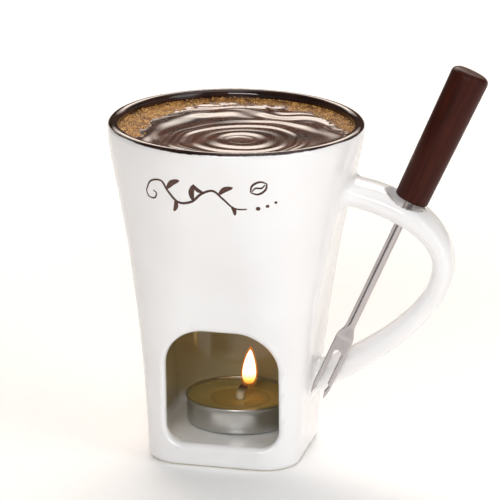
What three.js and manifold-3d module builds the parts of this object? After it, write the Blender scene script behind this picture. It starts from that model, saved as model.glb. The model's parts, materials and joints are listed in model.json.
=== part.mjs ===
// A fondue mug set. A tealight burns in a chamber under a stoneware bowl and keeps the chocolate in it
// melted. The dipping fork hangs in a countersunk bore in the mug's handle.
//
// Millimetres, +Z up. The origin is the middle of the mug's foot, on the table. The chamber opens
// towards -Y and the handle points to +X. The mug is one fired piece of stoneware, made of three clay
// parts luted together: the body, the base plate that closes the chamber, and the handle.

import * as THREE from "three";
import { mergeVertices } from "three/addons/utils/BufferGeometryUtils.js";
import Module from "manifold-3d";

// ---------------------------------------------------------------- driving dimensions

// Clearances
const LUTE_GAP = 0.3; // between clay parts, and between the bowl and what fills it
const NEST_GAP = 0.3; // between the pieces of the tealight, and round the fork's tang
const REST_GAP = 0.35; // between the fork and what it leans on
const TEALIGHT_PASS = 0.6; // each side of a tealight, through the chamber's opening

// Tealight: the standard 38 mm cup, in its low form
const TEALIGHT_RADIUS = 19;
const TEALIGHT_HEIGHT = 9.4;
const CUP_SHEET = 0.4;
const CUP_BEAD = 0.5;
const WAX_BELOW_RIM = 1.5;
const WICK_RADIUS = 1;
const WICK_ABOVE_WAX = 4.6;
const WICK_LEAN = 2.4; // how far the burnt end curls to the side
const TAB_RADIUS = 6;
const TAB_NECK_HEIGHT = 2.8;
const TEALIGHT_BACK = 3.2; // how far behind the mug's axis it stands

// Mug
const MUG_HEIGHT = 117;
const RIM_RADIUS = 44.1;
const WALL = 3.8;
const JAMB = 3.3; // the chamber is this much wider than its opening, each side
const BASE_CORNER_RADIUS = 12.8;
const FOOT_ROUND = 2.5;
const FLOOR_HEIGHT = 8.3; // the chamber's floor, level with the sill
const OPENING_HEIGHT = 41.7;
const OPENING_SIDE = 1.4; // how far the opening and the tealight are to the handle's side
const OPENING_TOP_RADIUS = 14;
const OPENING_SILL_RADIUS = 6;
const OPENING_LIP = 2; // radius of the rounded lip round the opening
const LINTEL = 3.5; // from the opening's top to the chamber's ceiling
const PARTITION = 4.5; // between the chamber and the bowl
const CEILING_FILLET = 5;
const BOWL_FILLET = 9;
const CHOCOLATE_BELOW_RIM = 3.4;

// The wall's flare from foot to rim: a straight part, a curved part, and a lip that stands upright
const FLARE_STRAIGHT = 0.08;
const FLARE_POWER = 1.75;
const LIP_FULLNESS = 1.5;
const LIP_POWER = 10.5;
const CORNER_POWER = 1.65; // how fast the square foot's corners open into the round rim

// Handle
const HANDLE_BELOW_RIM = 22; // the upper arm's middle, where it leaves the wall
const HANDLE_LOW = 26.8; // the lower arm's middle, where it meets the wall
const HANDLE_STANDOFF = 38.6; // from the wall to the handle's middle at the knee
const KNEE_SHARE = 0.654; // the knee's height, as a share of the way from the lower arm to the upper
const UPPER_DROOP = 4; // degrees, where the upper arm leaves the wall
const LOWER_SLOPE = 26.6; // degrees, where the lower arm meets the wall
const UPPER_REACH = 16.5; // how far each end runs before it bends
const LOWER_REACH = 25.5;
const KNEE_ROUND_UP = 0.553; // how far the knee runs upright, as a share of each arm's height
const KNEE_ROUND_DOWN = 0.36;
const ROOT_SINK = 1.5; // how far the arms start inside the wall before they are trimmed
const ROOT_FLARE = 0.6; // the luted ends spread by this much each way
const ROOT_FLARE_RUN = 4.5;
const UPPER_SECTION = { thickness: 9.1, width: 18 };
const KNEE_SECTION = { thickness: 7.4, width: 14.4 };
const LOWER_SECTION = { thickness: 9.2, width: 13.8 };
const SECTION_POWER = 2.5; // 2 is an ellipse; more is squarer

// Fork
const GRIP_LENGTH = 49;
const GRIP_RADIUS = 5.9; // at the foot
const GRIP_TOP_RADIUS = 6.7;
const GRIP_FOOT_ROUND = 1.4;
const GRIP_TOP_ROUND = 2.2;
const ROD_RADIUS = 1.7;
const TANG_LENGTH = 22;
const FORK_BELOW_SEAT = 75.6; // from the grip's foot to the tips of the tines
const HEAD_LENGTH = 29;
const HEAD_WIDTH = 6.4;
const HEAD_THICKNESS = 1.3;
const SHOULDER_RUN = 7;
const TINE_LENGTH = 15;
const TINE_SLOT = 2.8;
const TIP_LENGTH = 3;
const BARB_DEPTH = 0.7;
const BARB_LENGTH = 2.2;

// The bore that holds the fork
const BORE_OUT = 18.6; // from the wall to the bore's middle
const BORE_RADIUS = 5.2;
const COUNTERSINK_SLOPE = 35; // degrees from the bore's axis
const GRIP_SINK = 0.8; // how deep the grip's foot sits in the countersink
const FORK_PLAY = 1.3; // how far to the outside of the bore the fork stands

// Facets
const CORNER_STEPS = 12; // points in each quarter of a level ring
const CORNER_SPLIT = 0.5; // degrees that keep two quarters' end points apart where a side has no flat
const ROUND_STEPS = 3;
const HANDLE_STEPS = 40;
const HANDLE_SIDES = 20;
const LATHE_STEPS = 36;
const FORK_SIDES = 16;

// ---------------------------------------------------------------- derived sizes

const OPENING_HALF_WIDTH = TEALIGHT_RADIUS + TEALIGHT_PASS;
const BASE_HALF_WIDTH = OPENING_HALF_WIDTH + JAMB + WALL;
const OPENING_TOP = FLOOR_HEIGHT + OPENING_HEIGHT;
const CEILING_HEIGHT = OPENING_TOP + LINTEL;
const BOWL_FLOOR = CEILING_HEIGHT + PARTITION;
const CHOCOLATE_LEVEL = MUG_HEIGHT - CHOCOLATE_BELOW_RIM;
const HANDLE_TOP = MUG_HEIGHT - HANDLE_BELOW_RIM;

// ---------------------------------------------------------------- solids

const wasm = await Module();
wasm.setup();

// A closed geometry as a solid. One whose faces all point inwards is turned the right way.
function solid(geometry) {
  const bare = geometry.clone();
  bare.deleteAttribute("normal");
  bare.deleteAttribute("uv");
  const merged = mergeVertices(bare, 1e-4);
  const vertProperties = new Float32Array(merged.attributes.position.array);
  const triVerts = new Uint32Array(merged.index.array);
  const made = new wasm.Manifold(new wasm.Mesh({ numProp: 3, vertProperties, triVerts }));
  if (made.volume() > 0) {
    return made;
  }
  for (let i = 0; i < triVerts.length; i += 3) {
    [triVerts[i + 1], triVerts[i + 2]] = [triVerts[i + 2], triVerts[i + 1]];
  }
  return new wasm.Manifold(new wasm.Mesh({ numProp: 3, vertProperties, triVerts }));
}

function geometryOf(made) {
  const mesh = made.getMesh();
  const geometry = new THREE.BufferGeometry();
  geometry.setAttribute("position", new THREE.BufferAttribute(mesh.vertProperties, 3));
  geometry.setIndex(new THREE.BufferAttribute(mesh.triVerts, 1));
  const loose = geometry.toNonIndexed();
  loose.computeVertexNormals();
  return loose;
}

// A closed skin over a row of rings with the same number of points, with a fan over each end.
function loft(rings) {
  const points = rings.flat();
  const count = rings[0].length;
  const faces = [];
  for (let r = 0; r + 1 < rings.length; r++) {
    for (let i = 0; i < count; i++) {
      const a = r * count + i;
      const b = r * count + ((i + 1) % count);
      faces.push(a, b, b + count, a, b + count, a + count);
    }
  }
  for (const [ring, start] of [[rings[0], true], [rings.at(-1), false]]) {
    const middle = ring.reduce((sum, p) => sum.add(p), new THREE.Vector3()).divideScalar(count);
    const centre = points.push(middle) - 1;
    const first = start ? 0 : (rings.length - 1) * count;
    for (let i = 0; i < count; i++) {
      const a = first + i;
      const b = first + ((i + 1) % count);
      faces.push(centre, start ? b : a, start ? a : b);
    }
  }
  const geometry = new THREE.BufferGeometry().setFromPoints(points);
  geometry.setIndex(faces);
  return geometry;
}

// Points of a quarter round, as [along, across] shares that run from [0, 1] to [1, 0].
function quarterRound(steps = ROUND_STEPS) {
  return Array.from({ length: steps + 1 }, (_, i) => {
    const angle = (i / steps) * (Math.PI / 2);
    return [1 - Math.cos(angle), 1 - Math.sin(angle)];
  });
}

// ---------------------------------------------------------------- the mug's outer form

// Half the wall's outer width at a height.
function halfWidth(z) {
  const t = THREE.MathUtils.clamp(z / MUG_HEIGHT, 0, 1);
  const curve = FLARE_STRAIGHT * t + (1 - FLARE_STRAIGHT) * t ** FLARE_POWER;
  const lip = LIP_FULLNESS * t ** LIP_POWER * (1 - t);
  return BASE_HALF_WIDTH + (RIM_RADIUS - BASE_HALF_WIDTH) * (curve + lip);
}

// The corner radius of the outer section at a height: small at the square foot, a full circle at the rim.
function cornerRadius(z) {
  const t = THREE.MathUtils.clamp(z / MUG_HEIGHT, 0, 1);
  const foot = BASE_CORNER_RADIUS / BASE_HALF_WIDTH;
  return halfWidth(z) * (foot + (1 - foot) * t ** CORNER_POWER);
}

// One level ring of the mug: a rounded square, moved in from the outer wall by an inset.
function mugRing(z, inset = 0, sectionHeight = z) {
  const half = halfWidth(sectionHeight) - inset;
  const flat = halfWidth(sectionHeight) - cornerRadius(sectionHeight);
  const corner = Math.max(half - flat, 1);
  const ring = [];
  for (let i = 0; i < 4 * CORNER_STEPS; i++) {
    const quarter = Math.floor(i / CORNER_STEPS);
    const share = (i % CORNER_STEPS) / (CORNER_STEPS - 1);
    const turn = THREE.MathUtils.lerp(CORNER_SPLIT, 90 - CORNER_SPLIT, share);
    const angle = THREE.MathUtils.degToRad(90 * quarter + turn);
    const c = Math.cos(angle);
    const s = Math.sin(angle);
    const x = Math.sign(c) * (half - corner) + corner * c;
    const y = Math.sign(s) * (half - corner) + corner * s;
    ring.push(new THREE.Vector3(x, y, z));
  }
  return ring;
}

// Where the front wall's outer face lies at a height and a distance from the middle.
function frontFace(x, z) {
  const half = halfWidth(z);
  const corner = cornerRadius(z);
  const over = Math.max(Math.abs(x) - (half - corner), 0);
  return -(half - corner) - Math.sqrt(Math.max(corner ** 2 - over ** 2, 0));
}

function levels(from, to, steps) {
  return Array.from({ length: steps + 1 }, (_, i) => THREE.MathUtils.lerp(from, to, i / steps));
}

// ---------------------------------------------------------------- mug body

// The outline of the chamber's opening, grown outwards by an offset: a sill with small corners and a
// top that is nearly a full arch.
function openingOutline(grow) {
  const half = OPENING_HALF_WIDTH + grow;
  const shape = new THREE.Shape();
  const low = FLOOR_HEIGHT - grow;
  const high = OPENING_TOP + grow;
  const sill = OPENING_SILL_RADIUS + grow;
  const top = OPENING_TOP_RADIUS + grow;
  const right = OPENING_SIDE + half;
  const left = OPENING_SIDE - half;
  shape.absarc(right - sill, low + sill, sill, -Math.PI / 2, 0, false);
  shape.absarc(right - top, high - top, top, 0, Math.PI / 2, false);
  shape.absarc(left + top, high - top, top, Math.PI / 2, Math.PI, false);
  shape.absarc(left + sill, low + sill, sill, Math.PI, 1.5 * Math.PI, false);
  return shape.curves.flatMap((curve) => curve.getPoints(ROUND_STEPS + 2));
}

// The cutter for the opening: a straight tube through the front wall that flares into the lip. It starts
// where the chamber's corners start to curve, so that no corner is left standing in the way in.
function openingCutter() {
  const inside = -(halfWidth(FLOOR_HEIGHT) - cornerRadius(FLOOR_HEIGHT));
  const rings = [openingOutline(0).map((p) => new THREE.Vector3(p.x, inside, p.y))];
  for (const [across, along] of quarterRound()) {
    const outline = openingOutline(OPENING_LIP * across);
    const depth = OPENING_LIP * along;
    rings.push(outline.map((p) => new THREE.Vector3(p.x, frontFace(p.x, p.y) + depth, p.y)));
  }
  const last = openingOutline(OPENING_LIP);
  rings.push(last.map((p) => new THREE.Vector3(p.x, frontFace(p.x, p.y) - WALL, p.y)));
  return solid(loft(rings));
}

// The vessel's wall as one skin: up the outside, over the round rim and down into the bowl.
function vessel() {
  const rings = [];
  for (const [along, across] of quarterRound()) {
    rings.push(mugRing(FOOT_ROUND * along, FOOT_ROUND * across));
  }
  const rimRound = WALL / 2;
  rings.push(...levels(FOOT_ROUND, MUG_HEIGHT - rimRound, 18).slice(1).map((z) => mugRing(z)));
  for (const [across, along] of quarterRound().slice(1)) {
    rings.push(mugRing(MUG_HEIGHT - rimRound * along, rimRound * across, MUG_HEIGHT));
  }
  for (const [across, along] of quarterRound().reverse().slice(1)) {
    rings.push(mugRing(MUG_HEIGHT - rimRound * along, WALL - rimRound * across, MUG_HEIGHT));
  }
  const wallEnd = BOWL_FLOOR + BOWL_FILLET;
  rings.push(...levels(MUG_HEIGHT - rimRound, wallEnd, 12).slice(1).map((z) => mugRing(z, WALL)));
  for (const [across, along] of quarterRound().slice(1)) {
    rings.push(mugRing(BOWL_FLOOR + BOWL_FILLET * along, WALL + BOWL_FILLET * across));
  }
  return solid(loft(rings));
}

// The chamber, open below until the base plate closes it, with a rounded ceiling.
function chamberCutter() {
  const wallEnd = CEILING_HEIGHT - CEILING_FILLET;
  const rings = levels(-1, wallEnd, 7).map((z) => mugRing(z, WALL));
  for (const [across, along] of quarterRound().slice(1)) {
    rings.push(mugRing(CEILING_HEIGHT - CEILING_FILLET * along, WALL + CEILING_FILLET * across));
  }
  return solid(loft(rings));
}

function mugBody() {
  return geometryOf(vessel().subtract(chamberCutter()).subtract(openingCutter()));
}

function basePlate() {
  const inset = WALL + LUTE_GAP;
  return geometryOf(solid(loft(levels(0, FLOOR_HEIGHT, 2).map((z) => mugRing(z, inset)))));
}

function chocolateFondue() {
  const inset = WALL + LUTE_GAP;
  const low = BOWL_FLOOR + LUTE_GAP;
  const rings = [];
  for (const [along, across] of quarterRound()) {
    rings.push(mugRing(low + BOWL_FILLET * along, inset + BOWL_FILLET * across));
  }
  const wallStart = low + BOWL_FILLET;
  rings.push(...levels(wallStart, CHOCOLATE_LEVEL, 12).slice(1).map((z) => mugRing(z, inset)));
  return geometryOf(solid(loft(rings)));
}

// ---------------------------------------------------------------- handle

const handlePath = (() => {
  const degrees = THREE.MathUtils.degToRad;
  const knee = new THREE.Vector3();
  knee.z = THREE.MathUtils.lerp(HANDLE_LOW, HANDLE_TOP, KNEE_SHARE);
  knee.x = halfWidth(knee.z) + HANDLE_STANDOFF;
  const high = new THREE.Vector3(halfWidth(HANDLE_TOP) - ROOT_SINK, 0, HANDLE_TOP);
  const droop = new THREE.Vector3(Math.cos(degrees(UPPER_DROOP)), 0, -Math.sin(degrees(UPPER_DROOP)));
  const rise = new THREE.Vector3(Math.cos(degrees(LOWER_SLOPE)), 0, Math.sin(degrees(LOWER_SLOPE)));
  const low = new THREE.Vector3(halfWidth(HANDLE_LOW), 0, HANDLE_LOW).addScaledVector(rise, -ROOT_SINK);
  const above = new THREE.Vector3(knee.x, 0, knee.z + KNEE_ROUND_UP * (HANDLE_TOP - knee.z));
  const below = new THREE.Vector3(knee.x, 0, knee.z - KNEE_ROUND_DOWN * (knee.z - HANDLE_LOW));
  const path = new THREE.CurvePath();
  path.add(new THREE.CubicBezierCurve3(
    high, high.clone().addScaledVector(droop, UPPER_REACH), above, knee));
  path.add(new THREE.CubicBezierCurve3(
    knee, below, low.clone().addScaledVector(rise, LOWER_REACH), low));
  return path;
})();
const handleLength = handlePath.getLength();
const kneeShare = handlePath.getCurveLengths()[0] / handleLength;

// The handle's thickness and width at a share of its length. It is widest round the bore, slimmest at
// the knee, and spreads where it is luted to the wall.
function handleSection(share) {
  const low = share > kneeShare;
  const [from, to] = low ? [KNEE_SECTION, LOWER_SECTION] : [UPPER_SECTION, KNEE_SECTION];
  const start = low ? kneeShare : boreShare();
  const blend = THREE.MathUtils.smoothstep(share, start, low ? 1 : kneeShare);
  const end = Math.min(share, 1 - share) * handleLength;
  const flare = 2 * ROOT_FLARE * Math.exp(-((end / ROOT_FLARE_RUN) ** 2));
  return {
    thickness: THREE.MathUtils.lerp(from.thickness, to.thickness, blend) + flare,
    width: THREE.MathUtils.lerp(from.width, to.width, blend) + flare,
  };
}

// The share of the handle's length at which the bore stands.
function boreShare() {
  const x = halfWidth(HANDLE_TOP) + BORE_OUT;
  let low = 0;
  let high = kneeShare;
  for (let i = 0; i < 40; i++) {
    const middle = (low + high) / 2;
    if (handlePath.getPointAt(middle).x < x) {
      low = middle;
    } else {
      high = middle;
    }
  }
  return low;
}

function handleRing(share) {
  const { thickness, width } = handleSection(share);
  const centre = handlePath.getPointAt(share);
  const along = handlePath.getTangentAt(share);
  const across = new THREE.Vector3(0, 1, 0);
  const out = new THREE.Vector3().crossVectors(along, across).negate();
  const round = (value) => Math.sign(value) * Math.abs(value) ** (2 / SECTION_POWER);
  return Array.from({ length: HANDLE_SIDES }, (_, i) => {
    const angle = ((i + 0.5) / HANDLE_SIDES) * 2 * Math.PI;
    return centre.clone()
      .addScaledVector(out, (thickness / 2) * round(Math.cos(angle)))
      .addScaledVector(across, (width / 2) * round(Math.sin(angle)));
  });
}

// The lean of the fork, and with it the bore's. The fork leans to the side until its inner tine lies
// beside the wall, and forwards until the head passes in front of the lower arm.
const forkPose = (() => {
  const centre = handlePath.getPointAt(boreShare());
  const tangent = handlePath.getTangentAt(boreShare());
  const armAngle = Math.atan2(-tangent.z, tangent.x);
  let side = 0;
  let back = 0;
  let pose;
  const place = () => {
    const boreAxis = new THREE.Vector3(Math.sin(side), 0, Math.cos(side));
    const boreSide = new THREE.Vector3(Math.cos(side), 0, -Math.sin(side));
    const surface = UPPER_SECTION.thickness / 2 / Math.cos(armAngle - side);
    const height = surface - GRIP_SINK;
    const axis = new THREE.Vector3(Math.tan(side), Math.tan(back), 1).normalize();
    const seat = centre.clone().addScaledVector(boreAxis, height).addScaledVector(boreSide, FORK_PLAY);
    seat.y = height * Math.tan(back);
    pose = { centre, boreAxis, surface, axis, seat };
  };
  const tineGap = () => {
    const tip = pose.seat.clone().addScaledVector(pose.axis, -FORK_BELOW_SEAT);
    return tip.x - HEAD_WIDTH / 2 - halfWidth(tip.z) - REST_GAP;
  };
  const lowerArm = levels(kneeShare, 1, 60).map((share) => {
    return { point: handlePath.getPointAt(share), ...handleSection(share) };
  });
  const backLean = () => {
    const leans = lowerArm.map(({ point, thickness, width }) => {
      const offset = pose.seat.clone().sub(point).setY(0);
      const drop = offset.dot(pose.boreAxis);
      const beside = Math.sqrt(offset.lengthSq() - drop ** 2);
      const met = drop < FORK_BELOW_SEAT && beside < (thickness + HEAD_WIDTH) / 2;
      const clear = width / 2 + REST_GAP + HEAD_THICKNESS / 2 + pose.seat.y;
      return met ? Math.atan(clear / drop / Math.cos(side)) : 0;
    });
    return Math.max(...leans);
  };
  for (let round = 0; round < 4; round++) {
    let low = 0;
    let high = Math.PI / 4;
    for (let i = 0; i < 40; i++) {
      side = (low + high) / 2;
      place();
      if (tineGap() > 0) {
        low = side;
      } else {
        high = side;
      }
    }
    back = backLean();
    place();
  }
  return pose;
})();

// The bore and its countersink, as a cutter that stands on the handle's middle line.
function boreCutter() {
  const { centre, boreAxis, surface } = forkPose;
  const slope = Math.tan(THREE.MathUtils.degToRad(COUNTERSINK_SLOPE));
  const mouth = GRIP_RADIUS + FORK_PLAY + REST_GAP + GRIP_SINK * slope;
  const reach = 2 * UPPER_SECTION.thickness;
  const profile = [
    new THREE.Vector2(0, -reach),
    new THREE.Vector2(BORE_RADIUS, -reach),
    new THREE.Vector2(BORE_RADIUS, surface - (mouth - BORE_RADIUS) / slope),
    new THREE.Vector2(mouth, surface),
    new THREE.Vector2(mouth + reach * slope, surface + reach),
    new THREE.Vector2(0, surface + reach),
  ];
  const geometry = new THREE.LatheGeometry(profile, LATHE_STEPS);
  geometry.rotateX(Math.PI / 2);
  geometry.rotateY(Math.atan2(boreAxis.x, boreAxis.z));
  geometry.translate(centre.x, centre.y, centre.z);
  return solid(geometry);
}

function mugHandle() {
  const arms = solid(loft(levels(0, 1, HANDLE_STEPS).map(handleRing)));
  const wall = solid(loft(levels(-1, MUG_HEIGHT, 20).map((z) => mugRing(z, -LUTE_GAP))));
  return geometryOf(arms.subtract(wall).subtract(boreCutter()));
}

// ---------------------------------------------------------------- fork, upright on its own axis

function forkGrip() {
  const bore = ROD_RADIUS + NEST_GAP;
  const profile = [new THREE.Vector2(0, TANG_LENGTH + NEST_GAP)];
  profile.push(new THREE.Vector2(bore, TANG_LENGTH + NEST_GAP), new THREE.Vector2(bore, 0));
  for (const [along, across] of quarterRound()) {
    const radius = GRIP_RADIUS - GRIP_FOOT_ROUND * across;
    profile.push(new THREE.Vector2(radius, GRIP_FOOT_ROUND * along));
  }
  for (const [across, along] of quarterRound()) {
    const radius = GRIP_TOP_RADIUS - GRIP_TOP_ROUND * across;
    profile.push(new THREE.Vector2(radius, GRIP_LENGTH - GRIP_TOP_ROUND * along));
  }
  profile.push(new THREE.Vector2(0, GRIP_LENGTH));
  return new THREE.LatheGeometry(profile, LATHE_STEPS).rotateX(Math.PI / 2);
}

// One tine's outline, from the crotch of the head to its point, with a barb on its inner edge.
function tineShape(side) {
  const outer = HEAD_WIDTH / 2;
  const inner = TINE_SLOT / 2;
  const tip = -FORK_BELOW_SEAT;
  const root = tip + TINE_LENGTH;
  const barb = tip + TIP_LENGTH + BARB_LENGTH;
  const middle = (outer + inner) / 2;
  const shape = new THREE.Shape();
  shape.moveTo(side * outer, root + TIP_LENGTH);
  shape.lineTo(side * outer, tip + TIP_LENGTH + BARB_LENGTH);
  shape.quadraticCurveTo(side * outer, tip + TIP_LENGTH / 2, side * middle, tip);
  shape.lineTo(side * inner, tip + TIP_LENGTH);
  shape.lineTo(side * (inner + BARB_DEPTH), barb);
  shape.lineTo(side * inner, barb + BARB_DEPTH);
  shape.lineTo(side * inner, root + TIP_LENGTH);
  return shape;
}

// The rod, hammered flat into a head with two barbed tines.
function forkShaft() {
  const tip = -FORK_BELOW_SEAT;
  const headTop = tip + HEAD_LENGTH;
  const shoulder = headTop - SHOULDER_RUN;
  const crotch = tip + TINE_LENGTH;
  const ring = (z, halfX, halfY) => Array.from({ length: FORK_SIDES }, (_, i) => {
    const angle = ((i + 0.5) / FORK_SIDES) * 2 * Math.PI;
    const power = THREE.MathUtils.mapLinear(halfY, ROD_RADIUS, HEAD_THICKNESS / 2, 1, 0.4);
    const x = Math.sign(Math.cos(angle)) * Math.abs(Math.cos(angle)) ** power;
    const y = Math.sign(Math.sin(angle)) * Math.abs(Math.sin(angle)) ** power;
    return new THREE.Vector3(halfX * x, halfY * y, z);
  });
  const halfHead = HEAD_WIDTH / 2;
  const halfSheet = HEAD_THICKNESS / 2;
  const rings = [ring(crotch + TINE_SLOT / 2, halfHead, halfSheet), ring(shoulder, halfHead, halfSheet)];
  for (const share of [0.25, 0.5, 0.75, 1]) {
    const ease = THREE.MathUtils.smoothstep(share, 0, 1);
    rings.push(ring(
      shoulder + SHOULDER_RUN * share,
      THREE.MathUtils.lerp(halfHead, ROD_RADIUS, ease),
      THREE.MathUtils.lerp(halfSheet, ROD_RADIUS, ease)));
  }
  rings.push(ring(TANG_LENGTH, ROD_RADIUS, ROD_RADIUS));
  let shaft = solid(loft(rings));
  for (const side of [-1, 1]) {
    const sheet = { depth: HEAD_THICKNESS, bevelEnabled: false };
    const tine = new THREE.ExtrudeGeometry(tineShape(side), sheet);
    tine.translate(0, 0, -halfSheet);
    tine.rotateX(Math.PI / 2);
    shaft = shaft.add(solid(tine));
  }
  const slot = new THREE.CylinderGeometry(TINE_SLOT / 2, TINE_SLOT / 2, 2 * HEAD_THICKNESS, FORK_SIDES);
  slot.translate(0, 0, crotch + TINE_SLOT / 2);
  return geometryOf(shaft.subtract(solid(slot)));
}

// ---------------------------------------------------------------- tealight, upright on its own axis

const WAX_FLOOR = CUP_SHEET + NEST_GAP;
const WAX_TOP = TEALIGHT_HEIGHT - WAX_BELOW_RIM;
const NECK_RADIUS = WICK_RADIUS + NEST_GAP + CUP_SHEET;

function lathe(points) {
  const profile = points.map(([radius, z]) => new THREE.Vector2(radius, z));
  return new THREE.LatheGeometry(profile, LATHE_STEPS).rotateX(Math.PI / 2);
}

// A drawn foil cup: a flat floor, a plain wall and a rolled bead round the rim.
function tealightCup() {
  const wall = TEALIGHT_RADIUS - CUP_BEAD;
  const inner = wall - CUP_SHEET;
  const foot = 2 * CUP_SHEET;
  return lathe([
    [0, 0],
    [wall - foot, 0],
    [wall, foot],
    [wall, TEALIGHT_HEIGHT - 2.4 * CUP_BEAD],
    [TEALIGHT_RADIUS, TEALIGHT_HEIGHT - 1.5 * CUP_BEAD],
    [TEALIGHT_RADIUS, TEALIGHT_HEIGHT - 0.5 * CUP_BEAD],
    [TEALIGHT_RADIUS - 0.5 * CUP_BEAD, TEALIGHT_HEIGHT],
    [wall - 0.5 * CUP_SHEET, TEALIGHT_HEIGHT],
    [inner, TEALIGHT_HEIGHT - CUP_BEAD],
    [inner, foot],
    [inner - CUP_SHEET, CUP_SHEET],
    [0, CUP_SHEET],
  ]);
}

// The wax, moulded round the wick and over its tab.
function tealightWax() {
  const outer = TEALIGHT_RADIUS - CUP_BEAD - CUP_SHEET - NEST_GAP;
  const tabTop = WAX_FLOOR + CUP_SHEET + NEST_GAP;
  const neckTop = WAX_FLOOR + TAB_NECK_HEIGHT + NEST_GAP;
  return lathe([
    [TAB_RADIUS + NEST_GAP, WAX_FLOOR],
    [outer - 2 * CUP_SHEET, WAX_FLOOR],
    [outer, WAX_FLOOR + 2 * CUP_SHEET],
    [outer, WAX_TOP + NEST_GAP],
    [outer - 1, WAX_TOP],
    [WICK_RADIUS + NEST_GAP, WAX_TOP],
    [WICK_RADIUS + NEST_GAP, neckTop],
    [NECK_RADIUS + NEST_GAP, neckTop],
    [NECK_RADIUS + NEST_GAP, tabTop],
    [TAB_RADIUS + NEST_GAP, tabTop],
    [TAB_RADIUS + NEST_GAP, WAX_FLOOR],
  ]);
}

// The pressed tab that holds the wick upright.
function wickTab() {
  const bore = WICK_RADIUS + NEST_GAP;
  return lathe([
    [bore, WAX_FLOOR],
    [TAB_RADIUS, WAX_FLOOR],
    [TAB_RADIUS, WAX_FLOOR + CUP_SHEET],
    [NECK_RADIUS, WAX_FLOOR + CUP_SHEET],
    [NECK_RADIUS, WAX_FLOOR + TAB_NECK_HEIGHT],
    [bore, WAX_FLOOR + TAB_NECK_HEIGHT],
    [bore, WAX_FLOOR],
  ]);
}

// The wick stands straight through the wax and curls over where it burns.
function tealightWick() {
  const height = WAX_TOP + WICK_ABOVE_WAX;
  const curl = new THREE.CubicBezierCurve3(
    new THREE.Vector3(0, 0, WAX_TOP),
    new THREE.Vector3(0, 0, WAX_TOP + WICK_ABOVE_WAX / 2),
    new THREE.Vector3(WICK_LEAN / 3, 0, height - WICK_RADIUS),
    new THREE.Vector3(WICK_LEAN, 0, height - WICK_RADIUS));
  const centres = [new THREE.Vector3(0, 0, WAX_FLOOR), ...curl.getPoints(6)];
  const rings = centres.map((centre, i) => {
    const along = i === 0 ? new THREE.Vector3(0, 0, 1) : curl.getTangent((i - 1) / 6);
    const across = new THREE.Vector3(0, 1, 0);
    const out = new THREE.Vector3().crossVectors(across, along);
    return Array.from({ length: 10 }, (_, k) => {
      const angle = (k / 10) * 2 * Math.PI;
      return centre.clone()
        .addScaledVector(out, WICK_RADIUS * Math.cos(angle))
        .addScaledVector(across, WICK_RADIUS * Math.sin(angle));
    });
  });
  return geometryOf(solid(loft(rings)));
}

// ---------------------------------------------------------------- assembly

const glaze = { color: 0xf2efe9, roughness: 0.12, metalness: 0 };
const steel = { color: 0xc9c6c4, roughness: 0.2, metalness: 1 };

function piece(name, geometry, finish) {
  const mesh = new THREE.Mesh(geometry, new THREE.MeshStandardMaterial(finish));
  mesh.name = name;
  return mesh;
}

const mug = new THREE.Group();
mug.add(
  piece("mug_body", mugBody(), glaze),
  piece("base_plate", basePlate(), glaze),
  piece("mug_handle", mugHandle(), glaze),
  piece("chocolate_fondue", chocolateFondue(), { color: 0x3a1c10, roughness: 0.15, metalness: 0 }),
);

const fork = new THREE.Group();
fork.add(
  piece("fork_grip", forkGrip(), { color: 0x46271d, roughness: 0.35, metalness: 0 }),
  piece("fork_shaft", forkShaft(), steel),
);
const forkBack = new THREE.Vector3(0, 1, 0);
const forkSide = new THREE.Vector3().crossVectors(forkBack, forkPose.axis).normalize();
forkBack.crossVectors(forkPose.axis, forkSide);
fork.quaternion.setFromRotationMatrix(
  new THREE.Matrix4().makeBasis(forkSide, forkBack, forkPose.axis));
fork.position.copy(forkPose.seat);

const tealight = new THREE.Group();
tealight.add(
  piece("tealight_cup", tealightCup(), { color: 0xbdbdba, roughness: 0.3, metalness: 1 }),
  piece("tealight_wax", tealightWax(), { color: 0xe9e2c6, roughness: 0.35, metalness: 0 }),
  piece("wick_tab", wickTab(), steel),
  piece("tealight_wick", tealightWick(), { color: 0x4a4036, roughness: 0.9, metalness: 0 }),
);
tealight.position.set(OPENING_SIDE, TEALIGHT_BACK, FLOOR_HEIGHT + LUTE_GAP);

const fondueSet = new THREE.Group();
fondueSet.add(mug, fork, tealight);

export default fondueSet;
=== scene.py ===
import json
from math import atan2, cos, pi, radians, sin, tau

import bpy
import numpy as np
from bpy.props import FloatProperty, FloatVectorProperty, IntProperty, PointerProperty
from mathutils import Matrix, Vector

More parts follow.
